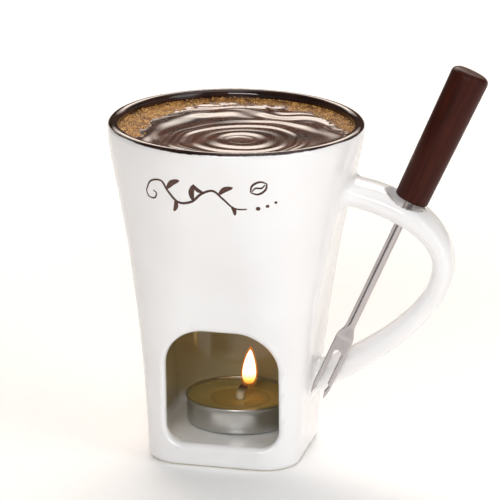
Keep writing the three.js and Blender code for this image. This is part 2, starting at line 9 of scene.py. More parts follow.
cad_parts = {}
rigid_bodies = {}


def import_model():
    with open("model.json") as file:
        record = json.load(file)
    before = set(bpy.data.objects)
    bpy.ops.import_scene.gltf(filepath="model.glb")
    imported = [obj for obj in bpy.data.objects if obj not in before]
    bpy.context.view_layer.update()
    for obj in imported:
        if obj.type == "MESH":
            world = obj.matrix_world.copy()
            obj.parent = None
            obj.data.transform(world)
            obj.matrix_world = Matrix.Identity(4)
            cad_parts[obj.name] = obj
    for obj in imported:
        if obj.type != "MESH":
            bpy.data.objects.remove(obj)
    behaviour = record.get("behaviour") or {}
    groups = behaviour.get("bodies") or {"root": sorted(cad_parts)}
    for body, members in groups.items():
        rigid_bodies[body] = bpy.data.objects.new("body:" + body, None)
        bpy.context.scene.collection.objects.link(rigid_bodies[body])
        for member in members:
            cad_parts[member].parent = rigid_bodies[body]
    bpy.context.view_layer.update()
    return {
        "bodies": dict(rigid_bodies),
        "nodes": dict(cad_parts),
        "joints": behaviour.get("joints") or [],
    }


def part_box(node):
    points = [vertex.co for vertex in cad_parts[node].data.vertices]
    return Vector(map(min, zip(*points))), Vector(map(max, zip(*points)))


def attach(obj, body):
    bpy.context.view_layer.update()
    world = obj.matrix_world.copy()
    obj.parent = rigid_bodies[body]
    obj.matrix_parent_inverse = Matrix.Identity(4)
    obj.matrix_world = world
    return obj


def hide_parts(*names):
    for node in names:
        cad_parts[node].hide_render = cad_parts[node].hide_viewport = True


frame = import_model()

bl_info = {
    "name": "Fondue mug set",
    "version": (1, 0, 0),
    "blender": (4, 5, 0),
    "location": "3D View > Sidebar > Fondue",
    "description": "Makes the glazed mug, its chocolate, the fork and the lit tealight",
    "category": "Object",
}

MM = 0.001


# ---------------------------------------------------------------- sizes, in millimetres

def box_mm(node):
    low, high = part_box(node)
    return np.array(low) / MM, np.array(high) / MM


# The mug
RIM_RADIUS, _, MUG_HEIGHT = box_mm("mug_body")[1]
FLOOR_HEIGHT = box_mm("base_plate")[1][2]
CHOCOLATE_LEVEL = box_mm("chocolate_fondue")[1][2]
BOWL_FLOOR = 58.0
CEILING_HEIGHT = 53.5
BASE_HALF_WIDTH = 26.7
BASE_CORNER_RADIUS = 12.8
FOOT_ROUND = 2.5
WALL = 3.8
FLARE_STRAIGHT = 0.08
FLARE_POWER = 1.75
LIP_FULLNESS = 1.5
LIP_POWER = 10.5
CORNER_POWER = 1.65
OPENING_HALF_WIDTH = 19.6
OPENING_TOP = 50.0
OPENING_SIDE = 1.4
OPENING_TOP_RADIUS = 14.0
OPENING_SILL_RADIUS = 6.0
OPENING_LIP = 2.0
OPENING_INNER_ROUND = 1.2
INNER_ROUND_FROM, INNER_ROUND_FULL = 1.5, 8
CEILING_FILLET = 5.0
FLOOR_FILLET = 1.6
BOWL_FILLET = 9.0
# The glaze line's wander, as waves of (height, waves round the rim, phase).
GLAZE_WAVES = ((0.12, 3, 0.7), (0.08, 7, 2), (0.05, 17, 0))

# The handle
HANDLE_TOP = MUG_HEIGHT - 22.0
HANDLE_LOW = 26.8
HANDLE_STANDOFF = 38.6
KNEE_SHARE = 0.654
UPPER_DROOP = radians(4.0)
LOWER_SLOPE = radians(26.6)
UPPER_REACH = 16.5
LOWER_REACH = 25.5
KNEE_ROUND_UP = 0.553
KNEE_ROUND_DOWN = 0.36
UPPER_SECTION = (9.1, 18.0)
KNEE_SECTION = (7.4, 14.4)
LOWER_SECTION = (9.2, 13.8)
SECTION_POWER = 2.5
ROOT_BLEND = 3.6
ROOT_SINK = 1.5
ROOT_OVERLAP = 0.3
CURVE_STEPS = 150
RUN_IN_STEPS = 10
RUN_IN_PITCH = 0.8
HANDLE_ROOM = ((18, np.inf), (-16, 16), (8, 108))
FAR_AWAY = 40.0
BORE_OUT = 18.6
BORE_RADIUS = 5.2
COUNTERSINK_MOUTH = 8.1
COUNTERSINK_SLOPE = radians(35.0)
COUNTERSINK_BLEND = 0.8
BORE_REACH = 14
BORE_EDGE = 0.5

# The fork, upright on its own axis, with the grip's foot at zero
GRIP_LENGTH = 49.0
GRIP_RADIUS = 5.9
GRIP_TOP_RADIUS = 6.7
ROD_RADIUS = 1.7
FORK_TIP = -75.6
TANG_TOP = 12.0
HEAD_LENGTH = 29.0
HEAD_WIDTH = 6.4
HEAD_THICKNESS = 1.3
SHOULDER_RUN = 7.0
TINE_LENGTH = 15.0
TINE_SLOT = 2.8
TIP_LENGTH = 3.0
BARB_DEPTH = 0.7
BARB_LENGTH = 2.2
FORK_SKIN_STEP = 0.24

# The tealight
TEALIGHT_RADIUS = 19.0
TEALIGHT_HEIGHT = 9.4
WAX_DEPTH = 1.5
WICK_RADIUS = 0.8
POOL_FROM, POOL_TO = 10.5, 12.5

# The stage, in metres but for the floor, which is in millimetres, and the lens
FLOOR_REACH = 3000.0
MUG_MIDDLE = (0.0, 0.0, 0.07)
CAMERA_PLACE = (0.31599, -1.38166, 0.49892)
CAMERA_TARGET = (0.00393, 0.00542, 0.06935)
CAMERA_TURN, CAMERA_RISE, CAMERA_ROLL = radians(12.882), radians(17.391), 0.008
SENSOR_WIDTH, FOCAL_LENGTH = 36.0, 309.84


# ---------------------------------------------------------------- small tools

def linear(code):
    """An sRGB hex colour as linear red, green and blue."""
    shares = [int(code[i:i + 2], 16) / 255 for i in (1, 3, 5)]
    return [c / 12.92 if c <= 0.04045 else ((c + 0.055) / 1.055) ** 2.4 for c in shares]


def opaque(colour):
    """A colour as a socket takes it, from a hex code or from a setting, which is linear already."""
    return (*(linear(colour) if isinstance(colour, str) else colour), 1)


def smooth(value, low, high):
    share = np.clip((value - low) / (high - low), 0, 1)
    return share * share * (3 - 2 * share)


def in_scene(name, data):
    made = bpy.data.objects.new(name, data)
    bpy.context.scene.collection.objects.link(made)
    return made


def mesh_object(name, points, faces, normals=None):
    """A smooth-shaded object from points in millimetres."""
    mesh = bpy.data.meshes.new(name)
    mesh.from_pydata((np.asarray(points, float) * MM).tolist(), [],
                     faces.tolist() if isinstance(faces, np.ndarray) else faces)
    mesh.validate()
    mesh.shade_smooth()
    if normals is not None:
        mesh.normals_split_custom_set_from_vertices(normals.tolist())
    return in_scene(name, mesh)


def mark(piece, name, values, kind="FLOAT"):
    """Stores values on a piece's points for its finish to read."""
    layer = piece.data.attributes.new(name, kind, "POINT")
    layer.data.foreach_set("value" if kind == "FLOAT" else "vector",
                           np.asarray(values, np.float32).ravel())


def poly_curves(name, lines):
    """An object of curves, from lines of points in millimetres with the pen's radius at each."""
    curves = bpy.data.curves.new(name, "CURVE")
    curves.dimensions = "3D"
    for line in lines:
        spline = curves.splines.new("POLY")
        spline.points.add(len(line) - 1)
        for knot, (point, radius) in zip(spline.points, line):
            knot.co = (*(np.array(point) * MM), 1)
            knot.radius = radius
    return in_scene(name, curves)


def lathe(profile, sides):
    """Points and faces of a closed turning.

    The profile runs from axis to axis, anticlockwise in (radius, height).
    """
    points, faces, rows = [], [], []
    for radius, height in profile:
        if radius < 1e-6:
            rows.append([len(points)] * sides)
            points.append((0.0, 0.0, height))
        else:
            rows.append(list(range(len(points), len(points) + sides)))
            points += [(radius * cos(tau * i / sides), radius * sin(tau * i / sides), height)
                       for i in range(sides)]
    for low, high in zip(rows, rows[1:]):
        for i in range(sides):
            j = (i + 1) % sides
            faces.append(tuple(dict.fromkeys((low[i], low[j], high[j], high[i]))))
    return np.array(points), faces


def arc(middle, radius, start, end, steps):
    """Points of an arc in (radius, height), from one angle to another in degrees."""
    return [(middle[0] + radius * cos(radians(start + (end - start) * i / steps)),
             middle[1] + radius * sin(radians(start + (end - start) * i / steps)))
            for i in range(steps + 1)]


def fill(tree, node, inputs):
    """Sets a node's inputs to values, or links them to sockets or to nodes' first live outputs."""
    for key, value in inputs.items():
        socket = node.inputs[key]
        if isinstance(value, bpy.types.Node):
            value = next(output for output in value.outputs if output.enabled)
        if isinstance(value, bpy.types.NodeSocket):
            tree.links.new(value, socket)
        else:
            socket.default_value = opaque(value) if socket.type == "RGBA" else value


def add_node(tree, kind, inputs=None, stops=(), **settings):
    """Adds a node with its settings, its inputs and a ramp's stops of (place, colour)."""
    node = tree.nodes.new(kind)
    for name, value in settings.items():
        setattr(node, name, value)
    fill(tree, node, inputs or {})
    for _ in stops[2:]:
        node.color_ramp.elements.new(1.0)
    for i, (place, colour) in enumerate(stops):
        node.color_ramp.elements[i].position = place
        node.color_ramp.elements[i].color = opaque(colour)
    return node


def new_material(name, layer=None):
    """A node material with its tree, its shader and the place that its patterns follow."""
    material = bpy.data.materials.new(name)
    material.use_nodes = True
    tree = material.node_tree
    tree.nodes.clear()
    shader = add_node(tree, "ShaderNodeBsdfPrincipled")
    add_node(tree, "ShaderNodeOutputMaterial", {"Surface": shader}).is_active_output = True
    if layer:
        place = add_node(tree, "ShaderNodeAttribute", attribute_name=layer).outputs["Vector"]
    else:
        place = add_node(tree, "ShaderNodeTexCoord").outputs["Object"]
    return material, tree, shader, place


def coat(tree, shader, gloss, relief, inputs):
    """Finishes a shader with its roughness, its relief and its other inputs.

    The roughness is a number, or is spread over (share, least, most). The relief is
    (height, strength, depth in millimetres).
    """
    if isinstance(gloss, tuple):
        gloss = add_node(tree, "ShaderNodeMapRange", {
            "Value": gloss[0], "To Min": gloss[1], "To Max": gloss[2]})
    bump = add_node(tree, "ShaderNodeBump", {
        "Height": relief[0], "Strength": relief[1], "Distance": relief[2] * MM})
    fill(tree, shader, {"Roughness": gloss, "Normal": bump, **inputs})


def finish_piece(piece, body, replaces=(), material=None):
    if material:
        piece.data.materials.append(material)
    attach(piece, body)
    if replaces:
        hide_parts(*replaces)


def made_by_nodes(source, tree, name, values):
    """Runs a geometry node tree on a source object, and returns the result as a plain mesh."""
    modifier = source.modifiers.new(name, "NODES")
    modifier.node_group = tree
    sockets = {item.name: item.identifier for item in tree.interface.items_tree
               if item.item_type == "SOCKET" and item.in_out == "INPUT"}
    for label, value in values.items():
        modifier[sockets[label]] = value
    source.update_tag()
    bpy.context.view_layer.update()
    graph = bpy.context.evaluated_depsgraph_get()
    mesh = bpy.data.meshes.new_from_object(source.evaluated_get(graph), depsgraph=graph)
    source.modifiers.remove(modifier)
    mesh.name = name
    return in_scene(name, mesh)


def node_tree(name, sockets):
    """A geometry node group with its finish and other named inputs of (type, default)."""
    tree = bpy.data.node_groups.new(name, "GeometryNodeTree")
    tree.interface.new_socket("Geometry", in_out="INPUT", socket_type="NodeSocketGeometry")
    for label, (kind, default) in {**sockets, "Finish": ("NodeSocketMaterial", None)}.items():
        socket = tree.interface.new_socket(label, in_out="INPUT", socket_type=kind)
        if default is not None:
            socket.default_value = default
    tree.interface.new_socket("Geometry", in_out="OUTPUT", socket_type="NodeSocketGeometry")
    return tree, tree.nodes.new("NodeGroupInput").outputs


def end_tree(tree, geometry, given):
    """Ends a tree with real, smooth meshes in its finish."""
    real = add_node(tree, "GeometryNodeRealizeInstances", {"Geometry": geometry})
    smoothed = add_node(tree, "GeometryNodeSetShadeSmooth", {0: real})
    coated = add_node(tree, "GeometryNodeSetMaterial", {
        "Geometry": smoothed, "Material": given["Finish"]})
    add_node(tree, "NodeGroupOutput", {"Geometry": coated})
    return tree


def drawn_tube(tree, line, sides):
    """A capped tube along curves, as thick as their radius."""
    ring = add_node(tree, "GeometryNodeCurvePrimitiveCircle", {"Resolution": sides, "Radius": MM})
    width = add_node(tree, "GeometryNodeInputRadius")
    return add_node(tree, "GeometryNodeCurveToMesh", {
        "Curve": line, "Profile Curve": ring, "Scale": width, "Fill Caps": True})


# ---------------------------------------------------------------- clay as a field of distances

def half_width(z):
    """Half the wall's outer width at a height."""
    t = np.clip(z / MUG_HEIGHT, 0, 1)
    curve = FLARE_STRAIGHT * t + (1 - FLARE_STRAIGHT) * t ** FLARE_POWER
    lip = LIP_FULLNESS * t ** LIP_POWER * (1 - t)
    return BASE_HALF_WIDTH + (RIM_RADIUS - BASE_HALF_WIDTH) * (curve + lip)


def corner_radius(z):
    """The outer section's corner radius: small at the square foot, a full circle at the rim."""
    t = np.clip(z / MUG_HEIGHT, 0, 1)
    foot = BASE_CORNER_RADIUS / BASE_HALF_WIDTH
    return half_width(z) * (foot + (1 - foot) * t ** CORNER_POWER)


def rounded_both(a, b, radius):
    """What is inside both fields, with the edge between them rounded."""
    corner = np.hypot(np.maximum(a + radius, 0), np.maximum(b + radius, 0))
    return corner + np.minimum(np.maximum(a, b) + radius, 0) - radius


def blended_either(a, b, radius):
    """What is inside either field, with a soft fillet where they meet."""
    near = np.maximum(radius - np.abs(a - b), 0)
    return np.minimum(a, b) - near * near / (4 * radius)


def wall_field(x, y, z):
    """Distance from the mug's outer face, below zero inside it."""
    half, corner = half_width(z), corner_radius(z)
    across, deep = np.abs(x) - (half - corner), np.abs(y) - (half - corner)
    level = np.hypot(np.maximum(across, 0), np.maximum(deep, 0))
    level = level + np.minimum(np.maximum(across, deep), 0) - corner
    slope = half_width(z + 0.5) - half_width(z - 0.5)
    return level / np.sqrt(1 + slope * slope)


def bezier(points, steps):
    t = np.linspace(0, 1, steps)[:, None]
    a, b, c, d = (np.array(p) for p in points)
    return (1 - t) ** 3 * a + 3 * (1 - t) ** 2 * t * b + 3 * (1 - t) * t ** 2 * c + t ** 3 * d


def handle_line():
    """The handle's middle line in (x, z), run on a little into the wall at both ends."""
    knee_z = HANDLE_LOW + KNEE_SHARE * (HANDLE_TOP - HANDLE_LOW)
    knee = np.array([half_width(knee_z) + HANDLE_STANDOFF, knee_z])
    high = np.array([half_width(HANDLE_TOP) - ROOT_SINK, HANDLE_TOP])
    droop = np.array([cos(UPPER_DROOP), -sin(UPPER_DROOP)])
    rise = np.array([cos(LOWER_SLOPE), sin(LOWER_SLOPE)])
    low = np.array([half_width(HANDLE_LOW), HANDLE_LOW]) - ROOT_SINK * rise
    above = knee + [0, KNEE_ROUND_UP * (HANDLE_TOP - knee_z)]
    below = knee - [0, KNEE_ROUND_DOWN * (knee_z - HANDLE_LOW)]
    upper = bezier((high, high + UPPER_REACH * droop, above, knee), CURVE_STEPS)
    lower = bezier((knee, below, low + LOWER_REACH * rise, low), CURVE_STEPS)
    inward = np.arange(RUN_IN_STEPS, 0, -1)[:, None] * RUN_IN_PITCH
    line = np.vstack([high - inward * droop, upper, lower[1:], low - inward[::-1] * rise])
    steps = np.linalg.norm(np.diff(line, axis=0), axis=1)
    run = np.concatenate([[0], np.cumsum(steps)])
    along = np.gradient(line, axis=0)
    along /= np.linalg.norm(along, axis=1, keepdims=True)
    return {"line": line, "run": run, "along": along,
            "knee": run[RUN_IN_STEPS + CURVE_STEPS - 1], "end": run[-RUN_IN_STEPS - 1]}


HANDLE = handle_line()


def bore_place():
    """How far along the handle's line the bore stands, and its middle on that line."""
    x = half_width(HANDLE_TOP) + BORE_OUT
    upper = HANDLE["run"] < HANDLE["knee"]
    run = np.interp(x, HANDLE["line"][upper, 0], HANDLE["run"][upper])
    return run, [np.interp(run, HANDLE["run"], HANDLE["line"][:, k]) for k in (0, 1)]


def handle_field(x, y, z):
    """Distance from the handle's skin, worked out only near it."""
    field = np.full(x.shape, FAR_AWAY)
    near = np.ones(x.shape, bool)
    for value, (low, high) in zip((x, y, z), HANDLE_ROOM):
        near &= (value > low) & (value < high)
    px, py, pz = x[near], y[near], z[near]
    bore_run = bore_place()[0]
    result = np.empty(px.shape)
    batch, tiny = 20000, 1e-3
    for start in range(0, len(px), batch):
        part = slice(start, start + batch)
        gap_x = px[part, None] - HANDLE["line"][None, :, 0]
        gap_z = pz[part, None] - HANDLE["line"][None, :, 1]
        nearest = np.argmin(gap_x ** 2 + gap_z ** 2, axis=1)
        rows = np.arange(len(nearest))
        gap = np.stack([gap_x[rows, nearest], gap_z[rows, nearest]], axis=1)
        along = HANDLE["along"][nearest]
        shift = (gap * along).sum(1)
        run = HANDLE["run"][nearest] + shift
        out = gap[:, 0] * along[:, 1] - gap[:, 1] * along[:, 0]
        upper = smooth(run, bore_run, HANDLE["knee"])
        lower = smooth(run, HANDLE["knee"], HANDLE["end"])
        size = []
        for a, b, c in zip(UPPER_SECTION, KNEE_SECTION, LOWER_SECTION):
            size.append((a + (b - a) * upper + (c - b) * lower) / 2)
        shape = (np.abs(out / size[0]) ** SECTION_POWER
                 + np.abs(py[part] / size[1]) ** SECTION_POWER) ** (1 / SECTION_POWER)
        reach = np.hypot(out, py[part])
        result[part] = np.where(shape > tiny, reach - reach / np.maximum(shape, tiny), -size[0])
    field[near] = result
    return field


def fork_place():
    """The fork's seat and the three directions of its own frame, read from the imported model."""
    axis = np.array(next(j for j in frame["joints"] if j["name"] == "fork_lift")["axis"], float)
    axis /= np.linalg.norm(axis)
    grip = np.array([v.co for v in frame["nodes"]["fork_grip"].data.vertices]) / MM
    middle = grip.mean(0)
    seat = middle + axis * ((grip - middle) @ axis).min()
    side = np.cross([0, 1, 0], axis)
    side /= np.linalg.norm(side)
    return seat, side, np.cross(axis, side), axis


SEAT, FORK_SIDE, FORK_BACK, FORK_AXIS = fork_place()
TEALIGHT_LOW, TEALIGHT_HIGH = box_mm("tealight_cup")
TEALIGHT_PLACE = np.array([*((TEALIGHT_LOW + TEALIGHT_HIGH) / 2)[:2], TEALIGHT_LOW[2]])


def bore_field(x, y, z):
    """The bore through the upper arm and its countersink, along the fork's lean in (x, z)."""
    middle = bore_place()[1]
    lean = atan2(FORK_AXIS[0], FORK_AXIS[2])
    up = (x - middle[0]) * sin(lean) + (z - middle[1]) * cos(lean)
    beside = (x - middle[0]) * cos(lean) - (z - middle[1]) * sin(lean)
    radius = np.hypot(beside, y)
    rise = up - UPPER_SECTION[0] / 2
    cone = radius - COUNTERSINK_MOUTH - rise * np.tan(COUNTERSINK_SLOPE)
    drill = blended_either(radius - BORE_RADIUS, cone * cos(COUNTERSINK_SLOPE), COUNTERSINK_BLEND)
    return np.maximum(drill, np.abs(up) - BORE_REACH)


def quarter_round(depth, radius):
    """How far an edge with a quarter round has fallen back, at a depth below its face."""
    depth = np.clip(depth, 0, radius)
    return radius - np.sqrt(np.maximum(radius ** 2 - (radius - depth) ** 2, 0))


def opening_field(x, y, z, wall):
    """The chamber's opening, which flares into its rounded lip and softens at its inner edge."""
    middle = (FLOOR_HEIGHT + OPENING_TOP) / 2
    across, rise = np.abs(x - OPENING_SIDE), z - middle
    radius = np.where(rise > 0, OPENING_TOP_RADIUS, OPENING_SILL_RADIUS)
    qx = across - OPENING_HALF_WIDTH + radius
    qz = np.abs(rise) - (OPENING_TOP - middle) + radius
    outline = np.hypot(np.maximum(qx, 0), np.maximum(qz, 0))
    outline = outline + np.minimum(np.maximum(qx, qz), 0) - radius
    flare = quarter_round(-wall, OPENING_LIP)
    soften = quarter_round(wall + WALL, OPENING_INNER_ROUND)
    soften = soften * smooth(z, FLOOR_HEIGHT + INNER_ROUND_FROM, FLOOR_HEIGHT + INNER_ROUND_FULL)
    straight_wall = half_width(FLOOR_HEIGHT) - corner_radius(FLOOR_HEIGHT)
    return np.maximum(outline - flare - soften, y + straight_wall)


def mug_field(x, y, z):
    """The whole fired mug: vessel, chamber, base, handle, opening and bore."""
    wall = wall_field(x, y, z)
    outer = rounded_both(wall, -z, FOOT_ROUND)
    bowl = rounded_both(wall + WALL, BOWL_FLOOR - z, BOWL_FILLET)
    chamber = rounded_both(wall + WALL, z - CEILING_HEIGHT, CEILING_FILLET)
    chamber = rounded_both(chamber, FLOOR_HEIGHT - z, FLOOR_FILLET)
    body = np.maximum(outer, -np.minimum(bowl, chamber))
    rim = rounded_both(np.abs(wall + WALL / 2) - WALL / 2, z - MUG_HEIGHT, WALL / 2)
    body = np.where(z > MUG_HEIGHT - 3 * WALL, rim, body)
    handle = np.maximum(handle_field(x, y, z), -(wall + ROOT_OVERLAP))
    body = blended_either(body, handle, ROOT_BLEND)
    body = np.maximum(body, -opening_field(x, y, z, wall))
    return rounded_both(body, -bore_field(x, y, z), BORE_EDGE)


def surface_net(field, low, high, step):
    """A quad skin where the field is zero, with its points drawn onto it and its true normals."""
    axes = [np.arange(low[k], high[k] + step, step) for k in range(3)]
    values = np.empty([len(a) for a in axes])
    plane_y, plane_z = (g.ravel() for g in np.meshgrid(axes[1], axes[2], indexing="ij"))
    for i, x in enumerate(axes[0]):
        values[i] = field(np.full(plane_y.shape, x), plane_y, plane_z).reshape(values.shape[1:])
    cells = np.array(values.shape) - 1
    total, count = np.zeros((cells.prod(), 3)), np.zeros(cells.prod())
    quads = []
    for axis in range(3):
        first = np.take(values, range(values.shape[axis] - 1), axis)
        second = np.take(values, range(1, values.shape[axis]), axis)
        crossed = (first < 0) != (second < 0)
        base = np.argwhere(crossed)
        a, b = first[crossed], second[crossed]
        point = base.astype(float)
        point[:, axis] += a / (a - b)
        u, v = (axis + 1) % 3, (axis + 2) % 3
        ring = []
        for du, dv in ((-1, -1), (0, -1), (0, 0), (-1, 0)):
            cell = base.copy()
            cell[:, u] += du
            cell[:, v] += dv
            flat = np.ravel_multi_index(tuple(cell.T), tuple(cells))
            np.add.at(total, flat, point)
            np.add.at(count, flat, 1)
            ring.append(flat)
        quad = np.stack(ring, 1)
        quad[a >= 0] = quad[a >= 0][:, ::-1]
        quads.append(quad)
    used = np.flatnonzero(count)
    index = np.full(len(count), -1)
    index[used] = np.arange(len(used))
    points = total[used] / count[used, None] * step + np.array([a[0] for a in axes])
    nudge, last_round = 0.02 * step, 3
    normals = np.zeros_like(points)
    for round_ in range(last_round + 1):
        here = field(*points.T)
        for k in range(3):
            shift = np.zeros(3)
            shift[k] = nudge
            normals[:, k] = (field(*(points + shift).T) - field(*(points - shift).T)) / (2 * nudge)
        size = np.maximum(np.linalg.norm(normals, axis=1, keepdims=True), 0.3)
        if round_ < last_round:
            move = -here[:, None] * normals / size ** 2
            length = np.maximum(np.linalg.norm(move, axis=1, keepdims=True), 1e-9)
            points = points + move * np.minimum(1, 0.6 * step / length)
    normals /= np.maximum(np.linalg.norm(normals, axis=1, keepdims=True), 1e-9)
    return points, index[np.vstack(quads)], normals


def clay_vessel(settings):
    """The fired mug in one skin, marked for the brown glaze and for the painted shade on the
    chamber's walls.
    """
    reach, room = HANDLE["line"][:, 0].max() + 7, 2
    points, quads, normals = surface_net(
        mug_field, (-RIM_RADIUS - room, -RIM_RADIUS - room, -room),
        (reach, RIM_RADIUS + room, MUG_HEIGHT + room), settings.skin_step / MM)
    mug = mesh_object("mug", points, quads, normals)
    x, y, z = points.T
    wall = wall_field(x, y, z)
    around = np.arctan2(y, x)
    wander = sum(height * np.sin(waves * around + phase) for height, waves, phase in GLAZE_WAVES)
    line = z - (MUG_HEIGHT - settings.glaze_line / MM) + wander
    # The bowl's inside is brown all the way down.
    mark(mug, "inner_glaze", np.where((wall < -WALL / 2) & (z > BOWL_FLOOR - 2), 5.0, line))
    # Painted shade: the chamber's walls above its floor are marked to be darkened to olive,
    # standing in for the shade and dim flame light there.
    chamber_shade_share = smooth(-WALL - wall, -2.2, 1.0) * smooth(z, FLOOR_HEIGHT + 0.5, FLOOR_HEIGHT + 5)
    mark(mug, "chamber_painted_shade", np.where(z < BOWL_FLOOR - 1.5, chamber_shade_share, 0))
    return mug


# ---------------------------------------------------------------- the chocolate

# Each is in millimetres: how high, how far from the ripple's middle, how wide and how far apart.
RIPPLE_MIDDLE = np.array([4.0, -11.6])
RING_RISE, RING_RADIUS, RING_WIDTH = 0.34, 9.2, 2.0
DIMPLE_DEPTH, DIMPLE_RADIUS = 0.16, 6.4
OUTER_RISE, OUTER_RADIUS, OUTER_WIDTH, OUTER_CREST, OUTER_PITCH = 0.17, 17.5, 5.5, 14.4, 6.4
CURL_RISE, CURL_RADIUS, CURL_GROWTH, CURL_WIDTH = 0.09, 4.6, 0.5, 1.0
FINE_RISE, FINE_RADIUS, FINE_WIDTH, FINE_PITCH = 0.06, 20.5, 4.0, 2.2
SWIRL_RISE, EDDY_RISE, SWIRL_FROM, SWIRL_FULL = 0.26, 0.10, 21, 32
FROTH_MIDDLE = radians(112)
BED_RISE, MENISCUS_RISE, MENISCUS_REACH = 0.26, 0.75, 0.75
RINGED_RADIUS, RING_STEP, SWIRL_ROWS, POOL_SIDES = 25.5, 0.3, 70, 400
POOL_SINK, POOL_SKIRT = 0.3, (2.5, 6.0)


def chocolate_edge(angles, z, sink=0.15):
    """How far the bowl's wall is from the ripple's middle, and a little into the wall."""
    near, far = np.zeros(len(angles)), np.full(len(angles), 2 * RIM_RADIUS)
    for _ in range(40):
        radius = (near + far) / 2
        x = RIPPLE_MIDDLE[0] + radius * np.cos(angles)
        y = RIPPLE_MIDDLE[1] + radius * np.sin(angles)
        inside = wall_field(x, y, np.full(len(angles), float(z))) < sink - WALL
        near, far = np.where(inside, radius, near), np.where(inside, far, radius)
    return near


def layered_noise(x, y, size, seed):
    """Smooth noise between about -1 and 1, of turned waves with features of a size."""
    random = np.random.default_rng(seed)
    total = np.zeros(x.shape)
    for _ in range(14):
        turn, phase = random.uniform(0, tau, 2)
        pitch = tau / (size * random.uniform(0.7, 2.2))
        total += np.sin((x * np.cos(turn) + y * np.sin(turn)) * pitch + phase
                        + 1.7 * np.sin((x * np.sin(turn) - y * np.cos(turn)) * pitch * 0.6 + phase))
    return total / 4.2


def hump(distance, width, power=2):
    return np.exp(-(distance / width) ** power)


def chocolate_heights(x, y, gap, settings):
    """The surface's rise over its level, and how much froth lies on it."""
    dx, dy = x - RIPPLE_MIDDLE[0], y - RIPPLE_MIDDLE[1]
    bend = 0.06 * layered_noise(x, y, 26, 3)
    radius = np.hypot(dx, dy * 1.06) * (1 + bend)
    turn = np.arctan2(dy, dx)
    rise = (RING_RISE * hump(radius - RING_RADIUS, RING_WIDTH)
            - DIMPLE_DEPTH * hump(radius, DIMPLE_RADIUS, 4))
    rise += (OUTER_RISE * hump(radius - OUTER_RADIUS, OUTER_WIDTH)
             * np.cos(tau * (radius - OUTER_CREST) / OUTER_PITCH) * smooth(radius, 10.5, 13.5))
    rise += (CURL_RISE * hump(radius - CURL_RADIUS - CURL_GROWTH * turn, CURL_WIDTH)
             * smooth(radius, 1.5, 4))
    fine = hump(radius - FINE_RADIUS, FINE_WIDTH) * (0.15 + 0.85 * np.cos(turn) ** 2)
    rise += FINE_RISE * fine * np.cos(tau * radius / FINE_PITCH)
    swirl = np.sin(0.42 * radius + 2.0 * turn + 1.3 * layered_noise(x, y, 34, 9))
    eddy = np.sin(0.95 * radius + turn + 2.1 * layered_noise(x, y, 22, 21))
    far = smooth(radius, SWIRL_FROM, SWIRL_FULL)
    rise += SWIRL_RISE * far * swirl + EDDY_RISE * far * eddy
    rise = rise * settings.ripple_rise / MM / RING_RISE * smooth(gap, 0, 3)
    back = smooth(np.cos(np.arctan2(y, x) - FROTH_MIDDLE), -0.62, 0.25)
    width = settings.froth_width / MM * back * (
        1 + 0.25 * layered_noise(x, y, 15, 5) + 0.7 * smooth(-x, 16, 34))
    ragged = 1.3 * layered_noise(x, y, 5, 7)
    froth = smooth(width - gap + ragged + 0.7 * layered_noise(x, y, 1.6, 8), -0.8, 1.9)
    meniscus = MENISCUS_RISE * np.exp(-gap / MENISCUS_REACH)
    bed = smooth(width - gap, -2.0, 2.5)
    return rise * (1 - 0.8 * bed) + BED_RISE * bed + meniscus, froth


def chocolate_pool(settings):
    """The melted chocolate: rings round its ripple, swirls beyond them and froth at the wall."""
    sides = POOL_SIDES
    angles = np.arange(sides) * tau / sides
    edge = chocolate_edge(angles, CHOCOLATE_LEVEL)
    rings = round(RINGED_RADIUS / RING_STEP)
    radii = [np.full(sides, r) for r in np.arange(1, rings + 1) * RING_STEP]
    radii += [RINGED_RADIUS + (edge - RINGED_RADIUS) * s
              for s in np.arange(1, SWIRL_ROWS + 1) / SWIRL_ROWS]
    radii = np.array(radii)
    x = RIPPLE_MIDDLE[0] + radii * np.cos(angles)
    y = RIPPLE_MIDDLE[1] + radii * np.sin(angles)
    x, y = np.append(x.ravel(), RIPPLE_MIDDLE[0]), np.append(y.ravel(), RIPPLE_MIDDLE[1])
    gap = np.maximum(-WALL - wall_field(x, y, np.full(x.shape, CHOCOLATE_LEVEL)), 0)
    rise, froth = chocolate_heights(x, y, gap, settings)
    points = [*zip(x, y, CHOCOLATE_LEVEL - POOL_SINK + rise)]
    middle = len(points) - 1
    faces = [(middle, i, (i + 1) % sides) for i in range(sides)]

    def band(inner, outer):
        return [(inner + i, outer + i, outer + (i + 1) % sides, inner + (i + 1) % sides)
                for i in range(sides)]

    for row in range(len(radii) - 1):
        faces += band(row * sides, (row + 1) * sides)
    last = (len(radii) - 1) * sides
    for down in POOL_SKIRT:
        start = len(points)
        level = CHOCOLATE_LEVEL - down
        points += [(RIPPLE_MIDDLE[0] + r * cos(t), RIPPLE_MIDDLE[1] + r * sin(t), level)
                   for r, t in zip(chocolate_edge(angles, level), angles)]
        faces += band(last, start)
        last = start
    points.append((*RIPPLE_MIDDLE, CHOCOLATE_LEVEL - POOL_SKIRT[-1]))
    faces += [(last + i, len(points) - 1, last + (i + 1) % sides) for i in range(sides)]
    pool = mesh_object("chocolate", points, faces)
    mark(pool, "froth", np.append(froth, np.zeros(len(points) - len(froth))))
    return pool


